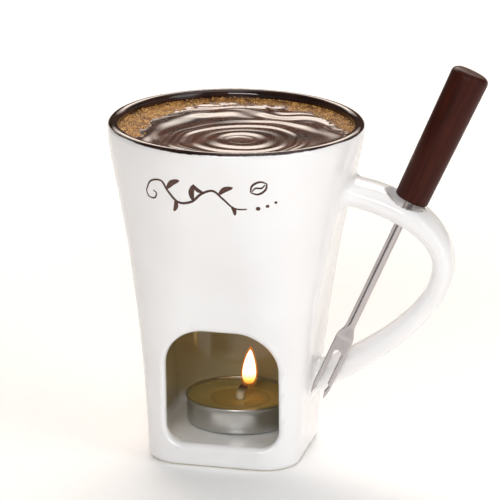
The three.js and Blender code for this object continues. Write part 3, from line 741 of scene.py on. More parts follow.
def froth_nodes():
    """Scatters small domes over a surface, as thick as its froth is."""
    tree, given = node_tree("froth_bubbles", {
        "Spacing": ("NodeSocketFloat", 0.5 * MM), "Largest radius": ("NodeSocketFloat", 0.42 * MM),
        "Seed": ("NodeSocketInt", 4)})
    froth = add_node(tree, "GeometryNodeInputNamedAttribute", {"Name": "froth"}, data_type="FLOAT")
    thick = add_node(tree, "ShaderNodeMath", {0: froth, 1: 2.4}, operation="POWER")
    scattered = add_node(tree, "GeometryNodeDistributePointsOnFaces", {
        "Mesh": given["Geometry"], "Distance Min": given["Spacing"], "Density Max": 2.6e6,
        "Density Factor": thick, "Seed": given["Seed"]}, distribute_method="POISSON")
    dome = add_node(tree, "GeometryNodeMeshUVSphere", {"Segments": 9, "Rings": 5, "Radius": 1.0})
    chance = add_node(tree, "FunctionNodeRandomValue", {
        "Min": 0.0, "Max": 1.0, "Seed": given["Seed"]}, data_type="FLOAT")
    mostly_small = add_node(tree, "ShaderNodeMath", {0: chance, 1: 3.2}, operation="POWER")
    share = add_node(tree, "ShaderNodeMath", {0: mostly_small, 1: 0.75, 2: 0.25},
                     operation="MULTIPLY_ADD")
    radius = add_node(tree, "ShaderNodeMath", {0: share, 1: given["Largest radius"]},
                      operation="MULTIPLY")
    placed = add_node(tree, "GeometryNodeInstanceOnPoints", {
        "Points": scattered, "Instance": dome, "Rotation": scattered.outputs["Rotation"],
        "Scale": radius})
    return end_tree(tree, placed, given)


# ---------------------------------------------------------------- the painted flourish

STROKE_START = 2 * RIM_RADIUS


def through(points, steps=14):
    """A smooth line through points."""
    p = np.array([points[0], *points, points[-1]], float)
    rows = []
    for a, b, c, d in zip(p, p[1:], p[2:], p[3:]):
        for t in np.arange(steps) / steps:
            rows.append(0.5 * (2 * b + (c - a) * t + (2 * a - 5 * b + 4 * c - d) * t ** 2
                               + (3 * b - a - 3 * c + d) * t ** 3))
    return np.array([*rows, p[-1]])


def pen_strokes():
    """The flourish's strokes in (x, z), each with the pen's least and greatest half width."""
    vine = through([(-22.5, 100.6), (-20.6, 104.4), (-16.6, 105.2), (-14.2, 101.8), (-10.6, 98.2),
                    (-6.0, 98.8), (-2.4, 102.0), (1.6, 103.4), (5.0, 100.6), (8.6, 97.4),
                    (12.8, 97.2)])
    curl = through([(-22.5, 100.6), (-21.6, 98.6), (-19.4, 98.4), (-18.6, 100.2), (-19.8, 101.2)])
    strokes = [(vine, 0.24, 0.46), (curl, 0.2, 0.3)]
    for foot, turn, length, wide in (
            ((-14.6, 102.6), 38, 6.0, 1.0), ((-11.6, 99.0), -100, 4.4, 0.8),
            ((-5.4, 99.2), 84, 6.2, 1.0), ((-1.6, 102.4), 142, 4.2, 0.75),
            ((3.6, 102.2), 30, 5.6, 0.95), ((7.6, 98.2), -72, 3.6, 0.7)):
        way = np.array([cos(radians(turn)), sin(radians(turn))])
        side = np.array([-way[1], way[0]])
        leaf = through([foot, foot + way * length * 0.5 + side * length * 0.12,
                        foot + way * length], 10)
        strokes.append((leaf, 0.12, wide))
    middle = np.array([16.8, 104.9])
    along, beside = np.array([0.86, 0.51]), np.array([-0.51, 0.86])
    for bow in (1, -1):
        half_bean = through([middle - along * 3.0, middle - along * 1.7 + beside * bow * 1.6,
                             middle + beside * bow * 2.0, middle + along * 1.8 + beside * bow * 1.5,
                             middle + along * 3.0])
        strokes.append((half_bean, 0.2, 0.4))
    crease = through([middle - along * 2.5, middle - along * 0.9 + beside * 0.5,
                      middle + along * 0.8 - beside * 0.5, middle + along * 2.4])
    strokes.append((crease, 0.14, 0.34))
    for x, z, size in ((16.4, 97.4, 0.72), (19.4, 98.2, 0.58), (22.0, 99.4, 0.46)):
        dot = np.array([(x - size * cos(pi * i / 12), z) for i in range(13)])
        strokes.append((dot, 0.05, size))
    return strokes


def stroke_curves(pen):
    """The strokes as curves standing in front of the mug, with their half widths as radii."""
    lines = []
    for line, thin, thick in pen_strokes():
        press = [sin(pi * i / (len(line) - 1)) ** 0.8 for i in range(len(line))]
        lines.append([((x, -STROKE_START, z), (thin + (thick - thin) * share) * pen)
                      for (x, z), share in zip(line, press)])
    return poly_curves("strokes", lines)


def flourish_nodes():
    """Gives the strokes a width, presses them flat and lays them on the mug's face."""
    tree, given = node_tree("painted_strokes", {
        "Mug": ("NodeSocketObject", None), "Start": ("NodeSocketFloat", STROKE_START * MM),
        "Paint thickness": ("NodeSocketFloat", 0.06 * MM)})
    tube = drawn_tube(tree, given["Geometry"], 12)
    spot = add_node(tree, "GeometryNodeInputPosition")
    parts = add_node(tree, "ShaderNodeSeparateXYZ", {0: spot})
    behind = add_node(tree, "ShaderNodeMath", {0: given["Start"], 1: -1.0}, operation="MULTIPLY")
    start = add_node(tree, "ShaderNodeCombineXYZ", {
        "X": parts.outputs["X"], "Y": behind, "Z": parts.outputs["Z"]})
    mug = add_node(tree, "GeometryNodeObjectInfo", {"Object": given["Mug"]})
    hit = add_node(tree, "GeometryNodeRaycast", {
        "Target Geometry": mug.outputs["Geometry"], "Source Position": start,
        "Ray Direction": (0.0, 1.0, 0.0), "Ray Length": 1.0})
    proud = add_node(tree, "ShaderNodeMath", {0: parts.outputs["Y"], 1: given["Start"]},
                     operation="ADD")
    side = add_node(tree, "ShaderNodeMath", {0: proud}, operation="SIGN")
    depth = add_node(tree, "ShaderNodeMath", {0: side, 1: given["Paint thickness"]},
                     operation="MULTIPLY")
    offset = add_node(tree, "ShaderNodeCombineXYZ", {"Y": depth})
    laid = add_node(tree, "GeometryNodeSetPosition", {
        "Geometry": tube, "Position": hit.outputs["Hit Position"], "Offset": offset})
    return end_tree(tree, laid, given)


# ---------------------------------------------------------------- the fork

def head_outline(x, z):
    """Distance from the head's outline, with its shoulder, its two tines and their inner barbs."""
    x = np.abs(x)
    head_top, shoulder = FORK_TIP + HEAD_LENGTH, FORK_TIP + HEAD_LENGTH - SHOULDER_RUN
    half = HEAD_WIDTH / 2 + (ROD_RADIUS - HEAD_WIDTH / 2) * smooth(z, shoulder, head_top)
    inner, middle = TINE_SLOT / 2, (HEAD_WIDTH + TINE_SLOT) / 4
    barb_from = FORK_TIP + TIP_LENGTH
    barb_to = barb_from + BARB_LENGTH
    point = np.clip((z - FORK_TIP) / (TIP_LENGTH + BARB_LENGTH), 0, 1)
    outer = x - (middle + (half - middle) * np.sin(point * pi / 2) ** 0.8)
    edge = middle + (inner - middle) * np.clip((z - FORK_TIP) / TIP_LENGTH, 0, 1)
    edge = edge + BARB_DEPTH * np.clip(np.minimum((z - barb_from) / BARB_LENGTH,
                                                  1 - (z - barb_to) / BARB_DEPTH), 0, 1)
    crotch = FORK_TIP + TINE_LENGTH + TINE_SLOT / 2
    slot = np.where(z > crotch, inner - np.hypot(x, z - crotch), edge - x)
    return np.maximum(np.maximum(outer, slot), FORK_TIP - z)


def fork_field(x, y, z):
    """The shaft: a round rod that is hammered flat into the head."""
    head_top, shoulder = FORK_TIP + HEAD_LENGTH, FORK_TIP + HEAD_LENGTH - SHOULDER_RUN
    share = smooth(z, shoulder, head_top)
    half_y = HEAD_THICKNESS / 2 + (ROD_RADIUS - HEAD_THICKNESS / 2) * share
    flat = rounded_both(head_outline(x, z), np.abs(y) - half_y, 0.45)
    rod = np.hypot(x, y) - ROD_RADIUS
    shaft = np.where(z > head_top, rod, flat + (rod - flat) * share ** 2)
    return rounded_both(shaft, z - TANG_TOP, 0.3)


def stand_fork(points):
    """Points of the upright fork, brought to its place in the bore."""
    return SEAT + points[:, :1] * FORK_SIDE + points[:, 1:2] * FORK_BACK + points[:, 2:] * FORK_AXIS


def fork_shaft():
    room = 0.6
    low = (-HEAD_WIDTH / 2 - room, -ROD_RADIUS - room, FORK_TIP - room)
    high = (HEAD_WIDTH / 2 + room, ROD_RADIUS + room, TANG_TOP + room)
    points, quads, normals = surface_net(fork_field, low, high, FORK_SKIN_STEP)
    return mesh_object("fork_steel_shaft", stand_fork(points), quads, stand_fork(normals) - SEAT)


def fork_handle():
    """The turned grip, which swells from its rounded foot to its crowned end."""
    foot_edge, crown_edge = 1.4, 2.2
    profile = [(0.0, 0.25), (ROD_RADIUS + 0.1, 0.25), (ROD_RADIUS + 0.35, 0.0)]
    profile += arc((GRIP_RADIUS - foot_edge, foot_edge), foot_edge, -90, 0, 8)
    for share in np.linspace(0.06, 0.94, 24):
        radius = GRIP_RADIUS + (GRIP_TOP_RADIUS - GRIP_RADIUS) * share
        profile.append((radius, foot_edge + (GRIP_LENGTH - foot_edge - crown_edge) * share))
    crown = GRIP_TOP_RADIUS - crown_edge
    profile += arc((crown, GRIP_LENGTH - crown_edge - 0.15), crown_edge, 0, 80, 10)
    profile += [(crown * s, GRIP_LENGTH - 0.16 * s * s) for s in (0.95, 0.7, 0.4, 0.0)]
    points, faces = lathe(profile, 112)
    grip = mesh_object("fork_grip_handle", stand_fork(points), faces)
    mark(grip, "along", points * MM, "FLOAT_VECTOR")
    return grip


# ---------------------------------------------------------------- the tealight

def at_tealight(points):
    return np.asarray(points, float) + TEALIGHT_PLACE


def foil_cup():
    """The drawn cup, with a rolled bead, a soft foot and a shallow ring pressed in its floor."""
    wall, bead, sheet = TEALIGHT_RADIUS - 0.5, 0.5, 0.4
    profile = [(0.0, 0.35), (6.0, 0.35), (6.8, 0.0), (wall - 1.2, 0.0)]
    profile += arc((wall - 1.0, 1.0), 1.0, -80, 0, 6)
    profile += [(wall, h) for h in (2.5, 4.5, 6.5)]
    profile += [(wall + 0.04, TEALIGHT_HEIGHT - 1.35)]
    profile += arc((wall, TEALIGHT_HEIGHT - bead), bead, -60, 180, 12)
    inner = wall - sheet
    profile += [(inner - 0.05, TEALIGHT_HEIGHT - 1.2), (inner, 5.0), (inner, 1.6)]
    profile += arc((inner - 0.9, 1.3), 0.9, 0, -90, 5)[1:] + [(7.0, sheet), (0.0, 0.5)]
    points, faces = lathe(profile, 160)
    return mesh_object("tealight_foil_cup", at_tealight(points), faces)


def candle_wax():
    """The wax, dished and melted round the wick, and climbing a little at the foil."""
    outer, top = TEALIGHT_RADIUS - 0.92, TEALIGHT_HEIGHT - WAX_DEPTH
    profile = [(0.0, 0.75), (outer - 1.0, 0.75), (outer, 1.6), (outer, top + 0.45)]
    for radius in (*np.linspace(outer - 0.15, 2.2, 34), 1.9, 1.6, 1.3, 1.0, 0.5, 0.0):
        rim = 0.5 * np.exp(-(outer - radius) / 0.8)
        dish = -0.55 * (1 - smooth(radius, 9.5, 12.5))
        climb = 0.35 * np.exp(-max(radius - 0.9, 0) / 0.5)
        profile.append((radius, top + rim + dish + climb - 0.05))
    points, faces = lathe(profile, 144)
    return mesh_object("tealight_candle_wax", at_tealight(points), faces)


def wick_strands():
    """Three cotton strands twisted round the wick's line, which curls where it burns, as curves."""
    top = TEALIGHT_HEIGHT - WAX_DEPTH
    curl = bezier(((0, 0, top - 0.6), (0, 0, top + 2.3), (0.9, 0, top + 3.6),
                   (2.2, 0, top + 3.75)), 40)
    line = np.vstack([[(0, 0, 1.2)], curl])
    along = np.gradient(line, axis=0)
    along /= np.linalg.norm(along, axis=1, keepdims=True)
    across = np.array([0.0, 1.0, 0.0])
    strands = []
    for strand in range(3):
        strands.append([])
        for i, (spot, way) in enumerate(zip(line, along)):
            turn = tau * (strand / 3 + i / 13)
            thin = 1 - 0.35 * max(0, (i - 30) / 10)
            out = np.cross(across, way)
            place = spot + 0.7 * thin * (out * cos(turn) + across * sin(turn))
            strands[-1].append((at_tealight(place), WICK_RADIUS * thin))
    return poly_curves("strands", strands)


def strand_nodes():
    """Gives strands their thickness."""
    tree, given = node_tree("cotton_strands", {})
    return end_tree(tree, drawn_tube(tree, given["Geometry"], 10), given)


def flame_skin(name, foot, tall, wide, lean):
    """A candle flame's skin: blunt at the wick, fullest low down and drawn to a point."""
    sides = through([(0.0, 0.0), (0.56, 0.04), (0.84, 0.13), (1.0, 0.3), (0.93, 0.46), (0.78, 0.62),
                     (0.55, 0.78), (0.28, 0.91), (0.0, 1.0)], 5)
    profile = [(max(wide / 2 * width, 0.0), tall * share) for width, share in sides]
    profile[0], profile[-1] = (0.0, 0.0), (0.0, tall)
    points, faces = lathe(profile, 48)
    share = points[:, 2] / tall
    points[:, 0] += lean * share ** 2
    return mesh_object(name, points + foot, faces)


# ---------------------------------------------------------------- finishes

def per(size):
    """A texture scale that gives features of a size in millimetres on coordinates in metres."""
    return 1 / (size * MM)


def white_glaze(colour, inside, clay, chamber_shade_paint):
    """White tin glaze fired glossy on stoneware.

    It looks wet, with a faint orange peel. It is brown inside, the foot is bare clay, and the
    chamber's walls carry painted olive shade.
    """
    material, tree, shader, place = new_material("white_glazed_stoneware")
    cloud, ragged, pooled, grog, peel = (
        add_node(tree, "ShaderNodeTexNoise", {
            "Vector": place, "Scale": per(size), "Detail": detail})
        for size, detail in ((28, 2.0), (1.6, 2.0), (9, 3.0), (0.6, 2.0), (7, 2.0)))
    body, brown, foot = (
        add_node(tree, "ShaderNodeValToRGB", {"Fac": noise}, stops)
        for noise, stops in ((cloud, ((0.3, colour), (0.75, "#f8f8f8"))),
                             (pooled, ((0.3, "#1d0f0b"), (0.7, inside))),
                             (grog, ((0.35, clay), (0.7, "#e4d9c4")))))
    edge, chamber_shade_share = (add_node(tree, "ShaderNodeAttribute", attribute_name=layer).outputs["Fac"]
                    for layer in ("inner_glaze", "chamber_painted_shade"))
    line = add_node(tree, "ShaderNodeMath", {0: ragged, 1: 0.3, 2: edge}, operation="MULTIPLY_ADD")
    covered = add_node(tree, "ShaderNodeMapRange", {
        "Value": line, "From Min": 0.05, "From Max": 0.3})
    parts = add_node(tree, "ShaderNodeSeparateXYZ", {0: place})
    bare = add_node(tree, "ShaderNodeMapRange", {
        "Value": parts.outputs["Z"], "From Min": 0.35 * MM, "From Max": 0.75 * MM,
        "To Min": 1.0, "To Max": 0.0})
    skin = body
    # Painted shade: the chamber's walls are mixed towards the olive shade colour.
    for share, over in ((chamber_shade_share, chamber_shade_paint), (covered, brown), (bare, foot)):
        skin = add_node(tree, "ShaderNodeMix", {0: share, 6: skin, 7: over}, data_type="RGBA")
    coat(tree, shader, (bare, 0.09, 0.85), (peel, 0.35, 0.12), {"Base Color": skin, "IOR": 1.52})
    return material


def flourish_paint(colour):
    """Brown underglaze enamel put on with a brush: dark, thin at the strokes' ends, and glossy."""
    material, tree, shader, place = new_material("brown_brushed_enamel")
    wash = add_node(tree, "ShaderNodeTexNoise", {"Vector": place, "Scale": per(1.8), "Detail": 3.0})
    tone = add_node(tree, "ShaderNodeValToRGB", {"Fac": wash}, ((0.3, colour), (0.75, "#5a3426")))
    fill(tree, shader, {"Base Color": tone, "Roughness": 0.16})
    return material


def melted_chocolate(dark, light, froth_dark, froth_light):
    """Melted chocolate with milk: oily gloss, deep brown with warm streaks, and golden froth."""
    material, tree, shader, place = new_material("melted_chocolate")
    froth = add_node(tree, "ShaderNodeAttribute", attribute_name="froth").outputs["Fac"]
    streak = add_node(tree, "ShaderNodeTexNoise", {
        "Vector": place, "Scale": per(22), "Detail": 3.0, "Distortion": 1.4})
    liquid = add_node(tree, "ShaderNodeValToRGB", {"Fac": streak}, ((0.3, dark), (0.72, light)))
    bubbles = add_node(tree, "ShaderNodeTexVoronoi", {"Vector": place, "Scale": per(0.75)},
                       feature="F1")
    clumps = add_node(tree, "ShaderNodeTexNoise", {
        "Vector": place, "Scale": per(3.2), "Detail": 4.0})
    foam = add_node(tree, "ShaderNodeMath", {0: bubbles, 1: 0.55, 2: clumps},
                    operation="MULTIPLY_ADD")
    foam_tone = add_node(tree, "ShaderNodeValToRGB", {"Fac": foam}, (
        (0.42, froth_light), (0.68, froth_dark), (0.95, "#4a2a14")))
    edge = add_node(tree, "ShaderNodeMapRange", {"Value": froth, "From Min": 0.15, "From Max": 0.6})
    tone = add_node(tree, "ShaderNodeMix", {0: edge, 6: liquid, 7: foam_tone}, data_type="RGBA")
    grain = add_node(tree, "ShaderNodeMath", {0: bubbles, 1: edge}, operation="MULTIPLY")
    coat(tree, shader, (edge, 0.16, 0.75), (grain, 0.6, 0.3), {"Base Color": tone, "IOR": 1.47})
    return material


def froth_film(dark, light):
    """Bubbles of chocolate froth: thin glossy films, golden at the crown, brown where thick."""
    material, tree, shader, place = new_material("chocolate_froth")
    cloud = add_node(tree, "ShaderNodeTexNoise", {
        "Vector": place, "Scale": per(1.1), "Detail": 3.0})
    tone = add_node(tree, "ShaderNodeValToRGB", {"Fac": cloud}, (
        (0.28, "#5a3518"), (0.4, dark), (0.58, light), (0.8, "#f2d49c")))
    fill(tree, shader, {"Base Color": tone, "Roughness": 0.38, "IOR": 1.33,
                        "Specular IOR Level": 0.3})
    return material


def stained_beech(colour):
    """Turned beech, stained dark and lacquered: satin, with pores and streaks along its length."""
    material, tree, shader, along = new_material("stained_beech", "along")
    drawn = add_node(tree, "ShaderNodeMapping", {"Vector": along, "Scale": (1.0, 1.0, 0.07)})
    streak = add_node(tree, "ShaderNodeTexNoise", {
        "Vector": drawn, "Scale": per(1.1), "Detail": 4.0, "Roughness": 0.6})
    tone = add_node(tree, "ShaderNodeValToRGB", {"Fac": streak}, (
        (0.25, "#2a0e08"), (0.55, colour), (0.85, "#4d2216")))
    pores = add_node(tree, "ShaderNodeTexNoise", {
        "Vector": drawn, "Scale": per(0.35), "Detail": 2.0})
    coat(tree, shader, (streak, 0.36, 0.5), (pores, 0.3, 0.08), {
        "Base Color": tone, "Specular IOR Level": 0.14})
    return material


def metal(name, colour, roughness, scratch, stretch, spread):
    """A metal with fine marks of a size, stretched one way, that vary its gloss."""
    material, tree, shader, place = new_material(name)
    drawn = add_node(tree, "ShaderNodeMapping", {"Vector": place, "Scale": stretch})
    marks = add_node(tree, "ShaderNodeTexNoise", {
        "Vector": drawn, "Scale": per(scratch), "Detail": 3.0})
    coat(tree, shader, (marks, roughness - spread, roughness + spread), (marks, 0.12, 0.04), {
        "Base Color": colour, "Metallic": 1.0})
    return material


def paraffin(colour):
    """Paraffin wax: clear and glossy in its pool, cloudy and satin where it has set, in olive-beige
    tones that are partly painted shade.
    """
    material, tree, shader, place = new_material("paraffin_wax")
    centred = add_node(tree, "ShaderNodeMapping", {
        "Vector": place, "Location": (-TEALIGHT_PLACE[0] * MM, -TEALIGHT_PLACE[1] * MM, 0)})
    parts = add_node(tree, "ShaderNodeSeparateXYZ", {0: centred})
    level = add_node(tree, "ShaderNodeCombineXYZ", {
        "X": parts.outputs["X"], "Y": parts.outputs["Y"]})
    radius = add_node(tree, "ShaderNodeVectorMath", {0: level}, operation="LENGTH")
    cloud = add_node(tree, "ShaderNodeTexNoise", {
        "Vector": place, "Scale": per(2.5), "Detail": 3.0})
    ragged = add_node(tree, "ShaderNodeMath", {0: cloud, 1: 2 * MM, 2: radius},
                      operation="MULTIPLY_ADD")
    hard = add_node(tree, "ShaderNodeMapRange", {
        "Value": ragged, "From Min": POOL_FROM * MM, "From Max": POOL_TO * MM})
    # Painted shade: both tints are the wax's own colour darkened and tinted olive to stand in for
    # the chamber's shade.
    tint = add_node(tree, "ShaderNodeMix", {0: hard, 6: "#978650", 7: colour}, data_type="RGBA")
    coat(tree, shader, (hard, 0.06, 0.42), (cloud, 0.2, 0.1), {
        "Base Color": tint, "IOR": 1.43, "Subsurface Weight": 0.4,
        "Subsurface Radius": (0.004, 0.0025, 0.0012)})
    return material


def burnt_cotton():
    """Cotton soaked in wax: cream where it leaves the wax, charred black where it burns."""
    material, tree, shader, place = new_material("burnt_cotton_wick")
    parts = add_node(tree, "ShaderNodeSeparateXYZ", {0: place})
    wax_top = (TEALIGHT_PLACE[2] + TEALIGHT_HEIGHT - WAX_DEPTH) * MM
    height = add_node(tree, "ShaderNodeMapRange", {
        "Value": parts.outputs["Z"], "From Min": wax_top, "From Max": wax_top + 4.6 * MM})
    fibre = add_node(tree, "ShaderNodeTexNoise", {
        "Vector": place, "Scale": per(0.4), "Detail": 3.0})
    mixed = add_node(tree, "ShaderNodeMath", {0: fibre, 1: 0.3, 2: height},
                     operation="MULTIPLY_ADD")
    tone = add_node(tree, "ShaderNodeValToRGB", {"Fac": mixed}, (
        (0.5, "#d6cbb0"), (0.78, "#8f7a58"), (1.0, "#2a1c12")))
    coat(tree, shader, 0.9, (fibre, 0.5, 0.1), {"Base Color": tone})
    return material


def burning_gas(name, foot, tall, stops, strength, solid):
    """A candle flame: glowing soot in thin gas, see-through low down and bright above."""
    material, tree, shader, place = new_material(name)
    parts = add_node(tree, "ShaderNodeSeparateXYZ", {0: place})
    height = add_node(tree, "ShaderNodeMapRange", {
        "Value": parts.outputs["Z"], "From Min": foot * MM, "From Max": (foot + tall) * MM})
    tone = add_node(tree, "ShaderNodeValToRGB", {"Fac": height}, stops)
    glow = add_node(tree, "ShaderNodeEmission", {"Color": tone, "Strength": strength})
    clear = add_node(tree, "ShaderNodeBsdfTransparent")
    cover = add_node(tree, "ShaderNodeMapRange", {
        "Value": height, "From Min": 0.0, "From Max": 0.35, "To Min": solid[0], "To Max": solid[1]})
    both = add_node(tree, "ShaderNodeMixShader", {0: cover, 1: clear, 2: glow})
    output = next(node for node in tree.nodes if node.type == "OUTPUT_MATERIAL")
    fill(tree, output, {"Surface": both})
    tree.nodes.remove(shader)
    return material


def floor_paper(colour):
    """Matt white paper, with a faint tooth and a little glow that keeps it pale."""
    material, tree, shader, place = new_material("floor_paper")
    tooth = add_node(tree, "ShaderNodeTexNoise", {"Vector": place, "Scale": per(1.0)})
    coat(tree, shader, 0.9, (tooth, 0.02, 0.05), {
        "Base Color": colour, "Emission Color": "#ffffff", "Emission Strength": 0.08})
    return material


# ---------------------------------------------------------------- what a user can change

def length_setting(label, what, value, low=0.0):
    return FloatProperty(name=label, description=what, default=value, min=low, unit="LENGTH",
                         subtype="DISTANCE", precision=5)


def colour_setting(label, what, code):
    return FloatVectorProperty(name=label, description=what, default=linear(code),
                               subtype="COLOR", size=3, min=0.0, max=1.0)


def power_setting(label, what, value, high=500.0):
    return FloatProperty(name=label, description=what, default=value, min=0.0, max=high,
                         unit="POWER", subtype="POWER")


def share_setting(label, what, value, low, high, subtype="FACTOR"):
    return FloatProperty(name=label, description=what, default=value, min=low, max=high,
                         subtype=subtype)


class MugSettings(bpy.types.PropertyGroup):
    skin_step: length_setting("Skin step", "Spacing of the mug's mesh", 0.9 * MM, 0.4 * MM)
    glaze_line: length_setting("Glaze line", "How far down the brown glaze comes", 0.9 * MM)
    glaze_colour: colour_setting("Glaze", "The white glaze on the outside", "#f3f2f2")
    inner_colour: colour_setting("Inner glaze", "The brown glaze in the bowl", "#3a211a")
    clay_colour: colour_setting("Clay", "The bare clay of the foot", "#cdbfa6")
    # The chamber colour is painted shade: the olive that shade and dim flame light give the white
    # glaze on the chamber's walls.
    chamber_shade_colour: colour_setting("Chamber", "The olive wash on the chamber's walls", "#b3a25c")
    pen: share_setting("Pen", "Width of the flourish's strokes, as a share", 1.0, 0.2, 2.0)
    paint: length_setting("Paint", "Thickness of the flourish's paint", 0.06 * MM)
    paint_colour: colour_setting("Flourish", "The flourish's brown enamel", "#3a2019")


class ChocolateSettings(bpy.types.PropertyGroup):
    ripple_rise: length_setting("Ripple", "Height of the ripple's tallest ring", 0.34 * MM)
    froth_width: length_setting("Froth", "Width of the froth at the wall", 6.2 * MM)
    spacing: length_setting("Bubble spacing", "Least distance between bubbles", 0.5 * MM, 0.3 * MM)
    largest: length_setting("Largest bubble", "Radius of the largest bubble", 0.42 * MM)
    seed: IntProperty(name="Seed", description="Draws another froth", default=4, min=0)
    dark: colour_setting("Dark chocolate", "The chocolate where it is deep", "#1f0b05")
    light: colour_setting("Milk streaks", "The chocolate where milk streaks it", "#5a2d17")
    froth_dark: colour_setting("Dark froth", "The froth's shaded parts", "#a06c30")
    froth_light: colour_setting("Pale froth", "The froth's bright parts", "#e6b76c")


class ForkSettings(bpy.types.PropertyGroup):
    grip_colour: colour_setting("Grip", "The grip's stain", "#3d170e")
    steel_colour: colour_setting("Steel", "The shaft's steel", "#c4bebe")
    steel_roughness: share_setting("Steel roughness", "Blur of the shaft's reflections",
                                   0.15, 0.03, 1.0)


class TealightSettings(bpy.types.PropertyGroup):
    flame_height: length_setting("Flame height", "From the wick to the flame's tip", 15.2 * MM)
    flame_width: length_setting("Flame width", "The flame at its widest", 5.9 * MM)
    flame_strength: share_setting("Flame strength", "How bright the flame's core is",
                                  5.0, 0.0, 100.0, "NONE")
    flame_light: power_setting("Flame light", "Power of the light that the flame casts",
                               0.007, 10.0)
    # The wax colour is partly painted shade: pale wax darkened to olive-beige as the chamber's
    # shade.
    wax_and_shade_colour: colour_setting("Wax", "The wax where it has set", "#a0925e")
    foil_colour: colour_setting("Foil", "The cup's aluminium", "#c4c3bf")


class StageSettings(bpy.types.PropertyGroup):
    floor_colour: colour_setting("Floor", "The floor's paper", "#f7f7f7")
    fill: share_setting("Fill", "Strength of the light from all round", 0.33, 0.0, 5.0, "NONE")
    top_power: power_setting("Top light", "Power of the soft light overhead", 4.5)
    back_power: power_setting("Back light", "Power of the light that the chocolate mirrors", 31.0)
    side_power: power_setting("Side light", "Power of the soft light at the right", 6.4)
    front_power: power_setting("Front light", "Power of the light that reaches the chamber", 8.6)


# ---------------------------------------------------------------- operators

class FONDUE_OT_mug(bpy.types.Operator):
    """Makes the glazed mug in one skin with its handle, chamber and bore"""
    bl_idname = "fondue.mug"
    bl_label = "Mug"

    def execute(self, context):
        settings = context.scene.fondue_mug
        glaze = white_glaze(settings.glaze_colour, settings.inner_colour, settings.clay_colour,
                            settings.chamber_shade_colour)
        finish_piece(clay_vessel(settings), "mug",
                     ("mug_body", "base_plate", "mug_handle"), glaze)
        return {"FINISHED"}


class FONDUE_OT_flourish(bpy.types.Operator):
    """Paints the flourish on the mug's front"""
    bl_idname = "fondue.flourish"
    bl_label = "Flourish"

    def execute(self, context):
        settings = context.scene.fondue_mug
        strokes = stroke_curves(settings.pen)
        flourish = made_by_nodes(strokes, flourish_nodes(), "painted_flourish", {
            "Mug": bpy.data.objects["mug"], "Start": STROKE_START * MM,
            "Paint thickness": settings.paint, "Finish": flourish_paint(settings.paint_colour)})
        bpy.data.objects.remove(strokes)
        finish_piece(flourish, "mug")
        return {"FINISHED"}


class FONDUE_OT_chocolate(bpy.types.Operator):
    """Fills the bowl with rippled chocolate and scatters its froth"""
    bl_idname = "fondue.chocolate"
    bl_label = "Chocolate"

    def execute(self, context):
        settings = context.scene.fondue_chocolate
        pool = chocolate_pool(settings)
        froth = made_by_nodes(pool, froth_nodes(), "chocolate_froth", {
            "Spacing": settings.spacing, "Largest radius": settings.largest, "Seed": settings.seed,
            "Finish": froth_film(settings.froth_dark, settings.froth_light)})
        melted = melted_chocolate(settings.dark, settings.light, settings.froth_dark,
                                  settings.froth_light)
        finish_piece(pool, "mug", ("chocolate_fondue",), melted)
        finish_piece(froth, "mug")
        return {"FINISHED"}


class FONDUE_OT_fork(bpy.types.Operator):
    """Makes the dipping fork: its steel shaft and its turned grip"""
    bl_idname = "fondue.fork"
    bl_label = "Fork"

    def execute(self, context):
        settings = context.scene.fondue_fork
        # Drawn and ground stainless steel: bright, with faint marks along its length.
        steel = metal("stainless_steel", settings.steel_colour, settings.steel_roughness, 0.5,
                      (1.0, 1.0, 0.15), 0.05)
        finish_piece(fork_shaft(), "fork", ("fork_shaft",), steel)
        finish_piece(fork_handle(), "fork", ("fork_grip",),
                     stained_beech(settings.grip_colour))
        return {"FINISHED"}


class FONDUE_OT_tealight(bpy.types.Operator):
    """Makes the tealight: foil cup, wax, wick and tab"""
    bl_idname = "fondue.tealight"
    bl_label = "Tealight"

    def execute(self, context):
        settings = context.scene.fondue_tealight
        # Thin aluminium drawn into a cup: satin, with soft dents.
        foil = metal("drawn_aluminium_foil", settings.foil_colour, 0.3, 2.5, (1.0, 1.0, 0.6), 0.06)
        finish_piece(foil_cup(), "tealight", ("tealight_cup",), foil)
        finish_piece(candle_wax(), "tealight", ("tealight_wax",),
                     paraffin(settings.wax_and_shade_colour))
        strands = wick_strands()
        wick = made_by_nodes(strands, strand_nodes(), "cotton_wick", {"Finish": burnt_cotton()})
        bpy.data.objects.remove(strands)
        finish_piece(wick, "tealight", ("tealight_wick",))
        # Pressed tinplate: bright and a little scratched.
        tinplate = metal("pressed_tinplate", "#b9b9b7", 0.34, 0.8, (1.0, 1.0, 1.0), 0.06)
        tab = frame["nodes"]["wick_tab"]
        tab.data.materials.clear()
        tab.data.materials.append(tinplate)
        return {"FINISHED"}


